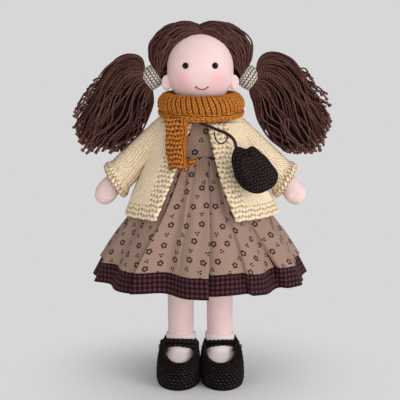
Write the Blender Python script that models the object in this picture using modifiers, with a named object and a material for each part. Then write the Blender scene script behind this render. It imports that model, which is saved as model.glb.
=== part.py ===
# Rag doll with yarn pigtails, layered dress, knitted cardigan, scarf, crocheted shoes and shoulder bag.
# Metres, +Z up, soles on z = 0, the doll looks towards -Y and its own left side is +X.
import math

import bmesh
import bpy
import numpy as np
from mathutils import Matrix, Vector

# Fits shared by all pieces
GAP = 0.0003
SOFT_GAP = 0.0006
WELD = 0.00001
OVERRUN = 0.004
STITCH_RADIUS = 0.0005

# Head and face
HEAD_CENTRE_HEIGHT = 0.337
HEAD_HALF_WIDTH = 0.0348
HEAD_HALF_DEPTH = 0.033
HEAD_HALF_HEIGHT = 0.038
HEAD_POWER = 2.3
NECK_TOP = 0.301
EYE_SPREAD = 0.015
EYE_RAISE = 0.0013
EYE_RADIUS = 0.0032
EYE_DOME = 0.0026
EYE_STEM_RADIUS = 0.0012
EYE_STEM_LENGTH = 0.0095
WASHER_RADIUS = 0.0045
WASHER_THICKNESS = 0.0012
WASHER_DEPTH = 0.0065
WASHER_ROOM = 0.0038
SMILE_HALF_WIDTH = 0.0062
SMILE_CENTRE = 0.0018
SMILE_DROP = 0.020
SMILE_SAG = 0.0027
EAR_HALF_WIDTH = 0.0052
EAR_HALF_DEPTH = 0.003
EAR_HALF_HEIGHT = 0.0080
EAR_OUT = 0.0362
EAR_FORWARD = 0.0075
EAR_DROP = 0.0145

# Wig, hair ties and pigtails
HAIR_THICKNESS = 0.0075
HAIR_PUFF = 0.0180
PARTING_HALF_GAP = 0.0004
TIE_RADIUS = 0.011
TIE_WALL = 0.0025
TIE_LENGTH = 0.0124
PIVOT_OUT = 0.0465
PIVOT_BACK = 0.006
PIVOT_DROP = 0.007
TIE_SLOPE_DEG = 35.0
PIGTAIL_REACH = 0.139
PIGTAIL_DROP = 0.095
PIGTAIL_RISE = 0.0165
PIGTAIL_HALF_DEPTH = 0.018

# Torso, hip strip and limbs
TORSO_HALF_WIDTH = 0.0375
TORSO_HALF_DEPTH = 0.0225
HIP_FOLD_HEIGHT = 0.1645
HIP_STRIP_HALF_THICKNESS = 0.0015
HIP_STRIP_HALF_WIDTH = 0.033
LEG_HINGE_HEIGHT = 0.1530
LEG_SEAM_RADIUS = 0.002
LEG_SPREAD = 0.0213
LEG_RADIUS = 0.0146
LEG_FOOT_HEIGHT = 0.0105
SHOULDER_HEIGHT = 0.2695
SHOULDER_OUT = 0.0421
ARM_LENGTH = 0.0960
ARM_SLOPE_DEG = 46.3
HAND_HALF_WIDTH = 0.0135

# Dress: bodice, skirt and checked flounce
BODICE_THICKNESS = 0.0012
WAIST_HEIGHT = 0.2445
BODICE_TOP = 0.2760
ARMHOLE_RADIUS = 0.0098
SKIRT_THICKNESS = 0.0010
SKIRT_HEM_HEIGHT = 0.134
SKIRT_HALF_WIDTH = 0.1060
SKIRT_HALF_DEPTH = 0.0960
FLOUNCE_TOP = 0.158
FLOUNCE_HEM_HEIGHT = 0.1145
FLOUNCE_HALF_WIDTH = 0.1150
FLOUNCE_HALF_DEPTH = 0.1055
FOLD_COUNT = 12
FOLD_DEPTH = 0.0028

# Cardigan
CARDIGAN_THICKNESS = 0.0032
CARDIGAN_TOP = 0.2783
CARDIGAN_HEM = 0.1830
CARDIGAN_HALF_WIDTH = 0.0820
CARDIGAN_HALF_DEPTH = 0.0740
SLEEVE_THICKNESS = 0.0022
SLEEVE_RADIUS = 0.0114
SLEEVE_START_OUT = 0.0425
CUFF_TOP_OUT = 0.1050
CUFF_TOP_HEIGHT = 0.2335
CUFF_FOOT_OUT = 0.0835
CUFF_FOOT_HEIGHT = 0.1985
CUFF_HALF_DEPTH = 0.0200

# Scarf
SCARF_HALF_WIDTH = 0.046
SCARF_BOTTOM = 0.2840
SCARF_TOP = 0.3125
SCARF_LEAN_SHARE = 0.09
# room for the head to turn inside the scarf
SCARF_TURN_ROOM = 0.0017
TAIL_THICKNESS = 0.0036
TAIL_HALF_WIDTH = 0.0124
TAIL_OFFSET = 0.0250
TAIL_FOOT = 0.2330
TAIL_HINGE_HEIGHT = 0.2799
TAIL_HINGE_FORWARD = 0.0405
TAIL_LEAN = 0.0075

# Socks and shoes
SOCK_THICKNESS = 0.0012
SOCK_TOP = 0.050
FOOT_HALF_WIDTH = 0.0185
FOOT_HALF_LENGTH = 0.0300
FOOT_FORWARD = 0.0145
FOOT_TOP = 0.0270
SHOE_SPREAD = 0.0236
SHOE_HALF_WIDTH = 0.0230
SHOE_HALF_LENGTH = 0.0350
SHOE_FORWARD = 0.0150
SOLE_THICKNESS = 0.004
SHOE_TOE_HEIGHT = 0.0290
SHOE_HEEL_HEIGHT = 0.0520
SHOE_MOUTH_HALF_WIDTH = 0.0160
SHOE_MOUTH_HALF_LENGTH = 0.0170
SHOE_MOUTH_FORWARD = 0.0190
SHOE_WALL_POWER = 0.22
SHOE_RISE_POWER = 1.6
STRAP_HEIGHT = 0.0085
STRAP_THICKNESS = 0.0022
STRAP_FOOT = 0.0392
STRAP_RISE = 0.0012
BUTTON_RADIUS = 0.0032
BUTTON_THICKNESS = 0.0020

# Shoulder bag, its strap and its button loop
BAG_HALF_WIDTH = 0.0235
BAG_HALF_HEIGHT = 0.0240
BAG_HALF_DEPTH = 0.0090
BAG_OUT = 0.0547
BAG_FORWARD = 0.0612
BAG_HEIGHT = 0.2345
STRAP_CORD_RADIUS = 0.0018
LOOP_CORD_RADIUS = 0.0008
# The strap runs from the bag up under the scarf and once round the neck, the loop lies by it.
STRAP_ROUTE = (
    (0.0370, -0.0612, 0.2590), (0.0362, -0.0600, 0.2640), (0.0330, -0.0580, 0.2690),
    (0.0280, -0.0560, 0.2722), (0.0195, -0.0530, 0.2742), (0.0105, -0.0480, 0.2760),
    (0.0030, -0.0410, 0.2766), (-0.0020, -0.0330, 0.2783), (-0.0090, -0.0245, 0.2850),
    (-0.0180, -0.0165, 0.2885), (-0.0235, -0.0040, 0.2888), (-0.0225, 0.0110, 0.2890),
    (-0.0120, 0.0208, 0.2892), (0.0020, 0.0236, 0.2892), (0.0150, 0.0190, 0.2890),
    (0.0228, 0.0070, 0.2888), (0.0228, -0.0070, 0.2886), (0.0150, -0.0185, 0.2880),
    (0.0068, -0.0262, 0.2862),
)
LOOP_ROUTE = (
    (0.0220, -0.0566, 0.2725), (0.0242, -0.0574, 0.2710), (0.0268, -0.0580, 0.2680),
    (0.0262, -0.0580, 0.2642), (0.0232, -0.0575, 0.2616), (0.0195, -0.0565, 0.2612),
    (0.0162, -0.0550, 0.2635), (0.0145, -0.0535, 0.2680), (0.0143, -0.0520, 0.2726),
)

# Shape tables, as shares of the sizes above
# torso rows: height from foot to neck top, half width, half depth
TORSO_SHARES = (
    (0.00, 0.88, 0.12), (0.07, 0.95, 0.50), (0.18, 1.00, 0.80), (0.36, 0.99, 0.955),
    (0.57, 0.935, 1.00), (0.73, 0.905, 0.98), (0.83, 0.83, 0.83), (0.885, 0.64, 0.66),
    (0.915, 0.42, 0.63), (1.00, 0.373, 0.622),
)
# leg rows: height from foot to hinge, half width, half depth
LEG_SHARES = (
    (0.00, 0.45, 0.45), (0.025, 0.80, 0.80), (0.10, 0.92, 0.93), (0.30, 0.95, 0.97),
    (0.60, 0.98, 1.00), (0.80, 1.00, 1.00), (0.90, 1.00, 0.80), (0.95, 0.98, 0.46), (0.9862, 0.96, 0.137),
    (0.9940, 0.96, 0.110), (1.00, 0.95, 0.03),
)
# arm rows: distance from the shoulder centre, half width, half depth
ARM_SHARES = (
    (-0.0895, 0.06, 0.06), (-0.0776, 0.318, 0.318), (-0.0448, 0.551, 0.551), (0.00, 0.637, 0.637),
    (0.25, 0.64, 0.64), (0.50, 0.62, 0.62), (0.68, 0.60, 0.58), (0.77, 0.84, 0.68),
    (0.86, 1.00, 0.74), (0.94, 0.86, 0.64), (0.985, 0.48, 0.40), (1.00, 0.12, 0.12),
)
# pigtail rows: outer edge out and height, inner edge out and height, half depth
PIGTAIL_SHARES = (
    (0.240, 0.987, 0.049, 0.673, 0.72), (0.46, 0.975, 0.055, 0.57, 0.86), (0.66, 0.81, 0.085, 0.44, 0.96),
    (0.83, 0.61, 0.145, 0.325, 1.00), (0.955, 0.42, 0.225, 0.265, 1.00), (1.00, 0.28, 0.335, 0.195, 0.92),
    (0.90, 0.15, 0.46, 0.115, 0.70), (0.74, 0.055, 0.58, 0.040, 0.34),
)
# skirt rows from waist to hem: height, then how much of the flare is reached
SKIRT_SHARES = ((0.0, 0.0), (0.08, 0.06), (0.28, 0.24), (0.54, 0.50), (0.78, 0.78), (1.0, 1.0))
# cardigan rows from hem to top: height, half width, half depth
CARDIGAN_SHARES = (
    (0.0, 1.0, 1.0), (0.20, 0.905, 0.87), (0.42, 0.78, 0.705), (0.60, 0.695, 0.60),
    (0.75, 0.64, 0.525), (0.90, 0.59, 0.45), (1.0, 0.53, 0.40),
)
# front edges of the cardigan, from hem to top, as shares of a quarter turn from the middle of the front
RIGHT_EDGE_SHARES = (0.37, 0.33, 0.25, 0.148)
LEFT_EDGE_SHARES = (0.29, 0.225, 0.18, 0.118)
# bag outline seen from the front: out and up from its middle
BAG_OUTLINE_SHARES = (
    (-0.97, 0.84), (-0.88, 1.12), (-0.66, 1.14), (-0.40, 0.92), (-0.11, 1.00), (0.33, 0.63), (0.69, 0.23),
    (1.00, -0.19), (0.91, -0.56), (0.50, -0.88), (0.11, -1.00), (-0.28, -0.88), (-0.68, -0.54), (-0.92, 0.0),
    (-1.00, 0.50),
)
# scarf section: radius and height, outer shares run down, inner shares run up
SCARF_SHARES = (
    (0.78, 1.00), (0.92, 0.91), (1.00, 0.64), (1.00, 0.31), (0.91, 0.06), (0.78, 0.00),
    (0.61, 0.22), (0.45, 0.40), (0.322, 0.42), (0.327, 0.57), (0.52, 0.78), (0.67, 0.91),
)
SLEEVE_START_SHARE = -0.25
STRAP_END_SHARE = 0.24
BAG_POWER = 3.0
HAIR_FRONT_DEG = 58.0
HAIR_NAPE_DEG = 176.0
PUFF_SPREAD_DEG = 32.0
PUFF_DIRECTION_SHARES = (0.86, 0.05, 0.50)
SIDES = (("left", 1.0), ("right", -1.0))
FULL_TURN = 2.0 * math.pi

for old in list(bpy.data.objects):
    bpy.data.objects.remove(old, do_unlink=True)

doll_parts = bpy.data.collections.new("rag_doll")
doll_cutters = bpy.data.collections.new("cutters")
bpy.context.scene.collection.children.link(doll_parts)
bpy.context.scene.collection.children.link(doll_cutters)


def plain_material(name, colour, roughness, metallic=0.0):
    """Give a piece its own Principled material."""
    material = bpy.data.materials.new(name)
    material.use_nodes = True
    shader = material.node_tree.nodes["Principled BSDF"]
    shader.inputs["Base Color"].default_value = (*colour, 1.0)
    shader.inputs["Roughness"].default_value = roughness
    shader.inputs["Metallic"].default_value = metallic
    return material


LOOKS = {
    "skin": ((0.83, 0.63, 0.60), 0.9),
    "yarn_hair": ((0.06, 0.022, 0.02), 0.85),
    "crochet_cream": ((0.72, 0.67, 0.60), 0.9),
    "gloss_black": ((0.01, 0.01, 0.01), 0.1),
    "washer_white": ((0.7, 0.7, 0.68), 0.5),
    "rose_thread": ((0.35, 0.06, 0.09), 0.7),
    "taupe_cloth": ((0.49, 0.35, 0.28), 0.9),
    "checked_cloth": ((0.12, 0.04, 0.045), 0.9),
    "cream_knit": ((0.80, 0.67, 0.41), 0.95),
    "mustard_knit": ((0.58, 0.22, 0.03), 0.95),
    "dark_crochet": ((0.03, 0.015, 0.016), 0.9),
    "pale_sock": ((0.74, 0.70, 0.69), 0.9),
    "button_glass": ((0.02, 0.03, 0.05), 0.15),
}


def finish_piece(piece, look, collection=None):
    """Link a piece, give it its material and smooth its round faces."""
    (collection or doll_parts).objects.link(piece)
    if collection is None:
        colour, roughness = LOOKS[look]
        piece.data.materials.append(plain_material(piece.name, colour, roughness))
        if piece.type == "MESH":
            piece.data.shade_smooth()
    return piece


def as_cutter(piece):
    """Keep a cutting shape out of the parts."""
    piece.hide_render = True
    piece.display_type = "WIRE"
    return piece


def cut(piece, cutter, operation="DIFFERENCE"):
    """Cut or join a piece with a closed mesh."""
    modifier = piece.modifiers.new(cutter.name, "BOOLEAN")
    modifier.operation = operation
    modifier.object = cutter
    modifier.solver = "EXACT"


def thicken(piece, thickness, outward):
    """Turn an open surface into cloth with a thickness."""
    modifier = piece.modifiers.new("cloth", "SOLIDIFY")
    modifier.thickness = thickness
    modifier.offset = 1.0 if outward else -1.0


def mapped_surface(name, columns, rows, place, around=False, capped=False):
    """Map a grid by place(u, v), where u runs round or across and v runs upwards."""
    bm = bmesh.new()
    bmesh.ops.create_grid(bm, x_segments=columns, y_segments=rows, size=0.5)
    for vert in bm.verts:
        vert.co = place(vert.co.x + 0.5, vert.co.y + 0.5)
    if around:
        bmesh.ops.remove_doubles(bm, verts=bm.verts, dist=WELD)
    if capped:
        rims = [edge for edge in bm.edges if edge.is_boundary]
        bmesh.ops.holes_fill(bm, edges=rims)
        bmesh.ops.recalc_face_normals(bm, faces=bm.faces)
    mesh = bpy.data.meshes.new(name)
    bm.to_mesh(mesh)
    bm.free()
    return bpy.data.objects.new(name, mesh)


def mapped_ball(name, segments, rings, place):
    """Map the unit sphere by place(direction)."""
    bm = bmesh.new()
    bmesh.ops.create_uvsphere(bm, u_segments=segments, v_segments=rings, radius=1.0)
    for vert in bm.verts:
        vert.co = place(vert.co.normalized())
    bmesh.ops.remove_doubles(bm, verts=bm.verts, dist=WELD)
    bmesh.ops.recalc_face_normals(bm, faces=bm.faces)
    mesh = bpy.data.meshes.new(name)
    bm.to_mesh(mesh)
    bm.free()
    return bpy.data.objects.new(name, mesh)


def trim_at_plane(piece, origin, keep):
    """Cut a closed piece at a plane and close it again, keeping the side that keep points to."""
    bm = bmesh.new()
    bm.from_mesh(piece.data)
    geometry = bm.verts[:] + bm.edges[:] + bm.faces[:]
    bmesh.ops.bisect_plane(bm, geom=geometry, dist=WELD, plane_co=origin, plane_no=keep, clear_inner=True)
    bmesh.ops.holes_fill(bm, edges=[edge for edge in bm.edges if edge.is_boundary])
    bmesh.ops.recalc_face_normals(bm, faces=bm.faces)
    bm.to_mesh(piece.data)
    bm.free()


def turned(name, outline, steps, place):
    """Turn an outline of (radius, height) round local Z and carry the result to its place."""
    bm = bmesh.new()
    verts = [bm.verts.new((radius, 0.0, height)) for radius, height in outline]
    loop = list(zip(verts, verts[1:]))
    if outline[0][0] > 0.0:
        loop.append((verts[-1], verts[0]))
    edges = [bm.edges.new(pair) for pair in loop]
    bmesh.ops.spin(bm, geom=verts + edges, cent=(0.0, 0.0, 0.0), axis=(0.0, 0.0, 1.0),
                   angle=FULL_TURN, steps=steps, use_merge=True)
    bmesh.ops.remove_doubles(bm, verts=bm.verts, dist=WELD)
    bmesh.ops.recalc_face_normals(bm, faces=bm.faces)
    bmesh.ops.transform(bm, matrix=place, verts=bm.verts)
    mesh = bpy.data.meshes.new(name)
    bm.to_mesh(mesh)
    bm.free()
    return bpy.data.objects.new(name, mesh)


def smooth_row(rows, share):
    """Read a table of rows along a smooth curve through them, share running from 0 to 1."""
    table = np.array(rows, dtype=float)
    last = len(table) - 1
    position = min(max(share, 0.0), 1.0) * last
    index = min(int(position), last - 1)
    t = position - index
    before, start, end, after = (table[min(max(index + k, 0), last)] for k in (-1, 0, 1, 2))
    return 0.5 * (2.0 * start + (end - before) * t
                  + (2.0 * before - 5.0 * start + 4.0 * end - after) * t ** 2
                  + (3.0 * start - before - 3.0 * end + after) * t ** 3)


def sizes_at(rows, share):
    """Read the columns of a table after its first at one share of that first column."""
    samples = np.array([smooth_row(rows, k / 200.0) for k in range(201)])
    return [float(np.interp(share, samples[:, 0], samples[:, col])) for col in range(1, samples.shape[1])]


def facing(axis, origin):
    """Matrix that carries local Z onto an axis at an origin."""
    turn = Vector(axis).normalized().to_track_quat("Z", "Y").to_matrix().to_4x4()
    return Matrix.Translation(origin) @ turn


def hinge_empty(name, origin):
    """Empty on a joint's axis, the parent of the pieces that move there."""
    empty = bpy.data.objects.new(name, None)
    empty.location = origin
    empty.empty_display_size = EYE_RADIUS
    doll_parts.objects.link(empty)
    return empty


def carry(pieces, empty):
    """Parent pieces to an empty and leave them where they are."""
    for piece in pieces:
        piece.parent = empty
        piece.matrix_parent_inverse = Matrix.Translation(empty.location).inverted()


def smooth_route(route, spacing):
    """Evenly spaced points on a smooth curve through a route."""
    last = len(route) - 1
    dense = np.array([smooth_row(route, k / (last * 24.0)) for k in range(last * 24 + 1)])
    steps = np.linalg.norm(np.diff(dense, axis=0), axis=1)
    travelled = np.concatenate(([0.0], np.cumsum(steps)))
    count = max(2, round(travelled[-1] / spacing))
    marks = np.linspace(0.0, travelled[-1], count + 1)
    return [Vector([float(np.interp(mark, travelled, dense[:, axis])) for axis in range(3)]) for mark in marks]


def cord(name, points, radius, look):
    """Round cord along points, with filled ends."""
    data = bpy.data.curves.new(name, "CURVE")
    data.dimensions = "3D"
    data.bevel_depth = radius
    data.bevel_resolution = 1 if radius < STRAP_CORD_RADIUS else 2
    data.use_fill_caps = True
    spline = data.splines.new("POLY")
    spline.points.add(len(points) - 1)
    for point, place in zip(spline.points, points):
        point.co = (*place, 1.0)
    return finish_piece(bpy.data.objects.new(name, data), look)


def head_scale(direction):
    """How far the head's surface lies along a unit direction, for half sizes of one."""
    total = sum(abs(value) ** HEAD_POWER for value in direction)
    return total ** (-1.0 / HEAD_POWER)


def head_point(direction, grow=0.0):
    """Point of the head's surface in a direction, moved out by a distance."""
    reach = head_scale(direction)
    return Vector((direction[0] * reach * (HEAD_HALF_WIDTH + grow),
                   direction[1] * reach * (HEAD_HALF_DEPTH + grow),
                   direction[2] * reach * (HEAD_HALF_HEIGHT + grow) + HEAD_CENTRE_HEIGHT))


def face_depth(out, height):
    """Depth of the face's surface at a place seen from the front."""
    side = abs(out / HEAD_HALF_WIDTH) ** HEAD_POWER
    rise = abs((height - HEAD_CENTRE_HEIGHT) / HEAD_HALF_HEIGHT) ** HEAD_POWER
    return -HEAD_HALF_DEPTH * (1.0 - side - rise) ** (1.0 / HEAD_POWER)


def face_normal(out, height):
    """Outward direction of the face's surface at a place."""
    depth = face_depth(out, height)
    rise = height - HEAD_CENTRE_HEIGHT
    slope = HEAD_POWER - 1.0
    return Vector((math.copysign(abs(out / HEAD_HALF_WIDTH) ** slope, out) / HEAD_HALF_WIDTH,
                   -abs(depth / HEAD_HALF_DEPTH) ** slope / HEAD_HALF_DEPTH,
                   math.copysign(abs(rise / HEAD_HALF_HEIGHT) ** slope, rise) / HEAD_HALF_HEIGHT)).normalized()


def head_shape(name, grow, base):
    """The head's stuffed form, flat where it is sewn to the neck."""
    def place(direction):
        point = head_point(direction, grow)
        point.z = max(point.z, base)
        return point
    return mapped_ball(name, 20, 12, place)


def make_head():
    """Stuffed head with the holes and the rooms for the eye stems and washers."""
    head = finish_piece(head_shape("head", 0.0, NECK_TOP + GAP), "skin")
    pieces = [head]
    for side_name, side in SIDES:
        out = side * EYE_SPREAD
        height = HEAD_CENTRE_HEIGHT + EYE_RAISE
        normal = face_normal(out, height)
        seat = facing(normal, Vector((out, face_depth(out, height), height)))
        hole_radius = EYE_STEM_RADIUS + GAP
        room_top = -(WASHER_DEPTH - GAP)
        hole_foot = room_top - WASHER_ROOM
        room_radius = WASHER_RADIUS + GAP
        outline = ((0.0, OVERRUN), (hole_radius, OVERRUN), (hole_radius, room_top), (room_radius, room_top),
                   (room_radius, hole_foot), (0.0, hole_foot))
        room = turned("eye_room_" + side_name, outline, 12, seat)
        cut(head, as_cutter(finish_piece(room, None, doll_cutters)))
        pieces.append(make_eye(side_name, seat))
        pieces.append(make_eye_washer(side_name, seat))
    return pieces


def make_eye(side_name, seat):
    """Domed safety eye with its stem."""
    outline = ((0.0, GAP + EYE_DOME), (EYE_RADIUS * 0.5, GAP + EYE_DOME * 0.86),
               (EYE_RADIUS * 0.87, GAP + EYE_DOME * 0.5), (EYE_RADIUS, GAP + EYE_DOME * 0.1),
               (EYE_RADIUS * 0.96, GAP), (EYE_STEM_RADIUS, GAP), (EYE_STEM_RADIUS, -EYE_STEM_LENGTH + GAP),
               (0.0, -EYE_STEM_LENGTH + GAP))
    return finish_piece(turned("eye_" + side_name, outline, 16, seat), "gloss_black")


def make_eye_washer(side_name, seat):
    """Washer that locks an eye's stem inside the head."""
    inner = EYE_STEM_RADIUS + GAP * 0.5
    top = -WASHER_DEPTH
    foot = top - WASHER_THICKNESS
    outline = ((inner, top), (WASHER_RADIUS, top), (WASHER_RADIUS, foot), (inner, foot))
    return finish_piece(turned("eye_washer_" + side_name, outline, 12, seat), "washer_white")


def make_smile():
    """Line of thread that makes the mouth."""
    points = []
    for k in range(9):
        share = k / 4.0 - 1.0
        out = SMILE_CENTRE + share * SMILE_HALF_WIDTH
        height = HEAD_CENTRE_HEIGHT - SMILE_DROP - SMILE_SAG * (1.0 - share ** 2)
        lift = face_normal(out, height) * (STITCH_RADIUS + GAP)
        points.append(Vector((out, face_depth(out, height), height)) + lift)
    return cord("smile_stitch", points, STITCH_RADIUS, "rose_thread")


def make_ear(side_name, side, head_cutter):
    """Small stuffed ear, sewn to the side of the head."""
    def place(direction):
        return Vector((side * EAR_OUT + direction.x * EAR_HALF_WIDTH,
                       -EAR_FORWARD + direction.y * EAR_HALF_DEPTH,
                       HEAD_CENTRE_HEIGHT - EAR_DROP + direction.z * EAR_HALF_HEIGHT))
    ear = finish_piece(mapped_ball("ear_" + side_name, 12, 8, place), "skin")
    cut(ear, head_cutter)
    return ear


def hair_growth(direction, side):
    """Thickness of the wig in a direction, puffed out above the tie."""
    puff = Vector(PUFF_DIRECTION_SHARES).normalized()
    puff.x *= side
    angle = math.degrees(direction.angle(puff))
    return HAIR_THICKNESS + HAIR_PUFF * math.exp(-(angle / PUFF_SPREAD_DEG) ** 2)


def face_wedge():
    """Wedge along X that leaves the face and the nape free of hair."""
    far = (HEAD_HALF_HEIGHT + HAIR_THICKNESS + HAIR_PUFF) * 2.0
    steps = 8
    bm = bmesh.new()
    corner = Vector((PIVOT_BACK, HEAD_CENTRE_HEIGHT - PIVOT_DROP - TIE_RADIUS - GAP))
    outline = [corner]
    for k in range(steps + 1):
        angle = math.radians(HAIR_NAPE_DEG + (HAIR_FRONT_DEG + 360.0 - HAIR_NAPE_DEG) * k / steps)
        outline.append(corner + far * Vector((-math.cos(angle), math.sin(angle))))
    reach = HEAD_HALF_WIDTH + HAIR_PUFF * 2.0
    face = bm.faces.new([bm.verts.new((-reach, depth, height)) for depth, height in outline])
    swept = bmesh.ops.extrude_face_region(bm, geom=[face])
    moved = [item for item in swept["geom"] if isinstance(item, bmesh.types.BMVert)]
    bmesh.ops.translate(bm, verts=moved, vec=(reach * 2.0, 0.0, 0.0))
    bmesh.ops.recalc_face_normals(bm, faces=bm.faces)
    mesh = bpy.data.meshes.new("face_wedge")
    bm.to_mesh(mesh)
    bm.free()
    return as_cutter(finish_piece(bpy.data.objects.new("face_wedge", mesh), None, doll_cutters))


def tie_pivot(side):
    """Where a pigtail is gathered and bends."""
    return Vector((side * PIVOT_OUT, PIVOT_BACK, HEAD_CENTRE_HEIGHT - PIVOT_DROP))


def tie_axis(side):
    """Direction in which a pigtail leaves the head."""
    slope = math.radians(TIE_SLOPE_DEG)
    return Vector((side * math.cos(slope), 0.0, -math.sin(slope)))


def make_hair(side_name, side, head_cutter, wedge):
    """Half of the yarn wig, from the parting to the tie."""
    def place(direction):
        return head_point(direction, hair_growth(direction, side))
    hair = mapped_ball("hair_" + side_name, 20, 12, place)
    trim_at_plane(hair, (side * PARTING_HALF_GAP, 0.0, 0.0), (side, 0.0, 0.0))
    finish_piece(hair, "yarn_hair")

    def ball(direction):
        return tie_pivot(side) + direction * math.hypot(TIE_RADIUS, GAP + TIE_WALL)
    room = mapped_ball("tie_room_" + side_name, 16, 8, ball)
    cut(hair, head_cutter)
    cut(hair, wedge)
    cut(hair, as_cutter(finish_piece(room, None, doll_cutters)))
    return hair


def make_tie(side_name, side):
    """Crocheted band round the root of a pigtail."""
    inner = TIE_RADIUS - TIE_WALL
    foot = GAP
    top = foot + TIE_LENGTH
    edge = TIE_WALL * 0.3
    outline = ((TIE_RADIUS - edge, top), (TIE_RADIUS, top - edge), (TIE_RADIUS, foot + edge),
               (TIE_RADIUS - edge, foot), (inner, foot), (inner, top))
    place = facing(tie_axis(side), tie_pivot(side))
    return finish_piece(turned("hair_tie_" + side_name, outline, 20, place), "crochet_cream")


def make_pigtail(side_name, side):
    """Bundle of yarn that leaves the tie, arches over and falls to its knotted ends."""
    pivot = tie_pivot(1.0)
    axis = tie_axis(1.0)
    across = Vector((-axis.z, 0.0, axis.x))
    root_radius = TIE_RADIUS - TIE_WALL - SOFT_GAP
    rows = []
    for distance in (-GAP, TIE_LENGTH + GAP * 2.0):
        centre = pivot + axis * distance
        rows.append((centre + across * root_radius, centre - across * root_radius, root_radius))
    inner_out = PIVOT_OUT + GAP * 7.0
    width = PIGTAIL_REACH - inner_out
    foot = pivot.z - PIGTAIL_DROP
    height = PIGTAIL_DROP + PIGTAIL_RISE
    for outer_x, outer_z, inner_x, inner_z, depth in PIGTAIL_SHARES:
        outer = Vector((inner_out + outer_x * width, pivot.y, foot + outer_z * height))
        inner = Vector((inner_out + inner_x * width, pivot.y, foot + inner_z * height))
        rows.append((outer, inner, depth * PIGTAIL_HALF_DEPTH))
    table = [(*outer, *inner, depth) for outer, inner, depth in rows]
    last = len(table) - 1

    def place(u, v):
        row = table[round(v * last)]
        outer, inner, depth = Vector(row[0:3]), Vector(row[3:6]), row[6]
        angle = u * FULL_TURN
        point = (outer + inner) * 0.5 + (outer - inner) * 0.5 * math.cos(angle)
        point.y += depth * math.sin(angle)
        point.x *= side
        return point
    return finish_piece(mapped_surface("pigtail_" + side_name, 20, last, place, True, True), "yarn_hair")


def torso_base():
    """Height of the sewn foot edge of the torso."""
    return HIP_FOLD_HEIGHT + HIP_STRIP_HALF_THICKNESS + GAP


def torso_sizes(height):
    """Half width and half depth of the torso at a height."""
    share = (height - torso_base()) / (NECK_TOP - torso_base())
    wide, deep = sizes_at(TORSO_SHARES, share)
    return wide * TORSO_HALF_WIDTH, deep * TORSO_HALF_DEPTH


def stuffed_torso(name, grow):
    """The torso's form with its neck, grown by a distance for cutting."""
    rows = 11

    def place(u, v):
        share, wide, deep = smooth_row(TORSO_SHARES, v)
        angle = u * FULL_TURN
        height = torso_base() + share * (NECK_TOP - torso_base())
        return Vector((math.cos(angle) * (wide * TORSO_HALF_WIDTH + grow),
                       math.sin(angle) * (deep * TORSO_HALF_DEPTH + grow), height))
    return mapped_surface(name, 24, rows, place, True, True)


def make_hip_strip():
    """Unstuffed strip of body cloth that lets the doll sit."""
    foot = LEG_HINGE_HEIGHT + LEG_SEAM_RADIUS + GAP
    radius = HIP_STRIP_HALF_THICKNESS
    half_turn_steps = 6
    outline = [(radius, foot)]
    for k in range(half_turn_steps + 1):
        angle = math.pi * k / half_turn_steps
        outline.append((radius * math.cos(angle), HIP_FOLD_HEIGHT + radius * math.sin(angle)))
    outline.append((-radius, foot))
    bm = bmesh.new()
    face = bm.faces.new([bm.verts.new((-HIP_STRIP_HALF_WIDTH, depth, height)) for depth, height in outline])
    swept = bmesh.ops.extrude_face_region(bm, geom=[face])
    moved = [item for item in swept["geom"] if isinstance(item, bmesh.types.BMVert)]
    bmesh.ops.translate(bm, verts=moved, vec=(HIP_STRIP_HALF_WIDTH * 2.0, 0.0, 0.0))
    bmesh.ops.remove_doubles(bm, verts=bm.verts, dist=WELD)
    bmesh.ops.recalc_face_normals(bm, faces=bm.faces)
    mesh = bpy.data.meshes.new("hip_strip")
    bm.to_mesh(mesh)
    bm.free()
    return finish_piece(bpy.data.objects.new("hip_strip", mesh), "skin")


def leg_form(name, side, grow):
    """The leg's stuffed form, pressed flat at its seam."""
    rows = len(LEG_SHARES) - 1

    def place(u, v):
        share, wide, deep = LEG_SHARES[round(v * rows)]
        angle = u * FULL_TURN
        height = LEG_FOOT_HEIGHT + share * (LEG_HINGE_HEIGHT + LEG_SEAM_RADIUS - LEG_FOOT_HEIGHT)
        return Vector((side * LEG_SPREAD + math.cos(angle) * (wide * LEG_RADIUS + grow),
                       math.sin(angle) * (deep * LEG_RADIUS + grow), height - grow * (1.0 - 2.0 * v)))
    return mapped_surface(name, 16, rows, place, True, True)


def make_arm(side_name, side):
    """Stuffed arm with a mitten hand, round at the shoulder where it turns."""
    axis, across = arm_axis(side)
    shoulder = Vector((side * SHOULDER_OUT, 0.0, SHOULDER_HEIGHT))
    rows = len(ARM_SHARES) - 1

    def place(u, v):
        distance, wide, deep = ARM_SHARES[round(v * rows)]
        angle = u * FULL_TURN
        point = shoulder + axis * (distance * ARM_LENGTH)
        point += across * (wide * HAND_HALF_WIDTH * math.cos(angle))
        point.y += deep * HAND_HALF_WIDTH * math.sin(angle)
        return point
    return finish_piece(mapped_surface("arm_" + side_name, 16, rows, place, True, True), "skin")


def foot_form(name, side, grow):
    """Foot inside the sock: flat below, low at the toes."""
    def place(direction):
        half_height = (FOOT_TOP - SOLE_THICKNESS - GAP) * 0.5
        centre = SOLE_THICKNESS + GAP * 6.0 + half_height
        return Vector((side * (LEG_SPREAD + SHOE_SPREAD) * 0.5 + direction.x * (FOOT_HALF_WIDTH + grow),
                       -FOOT_FORWARD + direction.y * (FOOT_HALF_LENGTH + grow),
                       centre + direction.z * (half_height + grow)))
    return mapped_ball(name, 16, 8, place)


def sock_tube(name, side, grow, top):
    """The sock's leg part."""
    def place(u, v):
        angle = u * FULL_TURN
        radius = LEG_RADIUS + GAP + SOCK_THICKNESS + grow
        foot = LEG_FOOT_HEIGHT - GAP * 2.0 - grow
        return Vector((side * LEG_SPREAD + math.cos(angle) * radius, math.sin(angle) * radius,
                       foot + v * (top - foot)))
    return mapped_surface(name, 16, 1, place, True, True)


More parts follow.
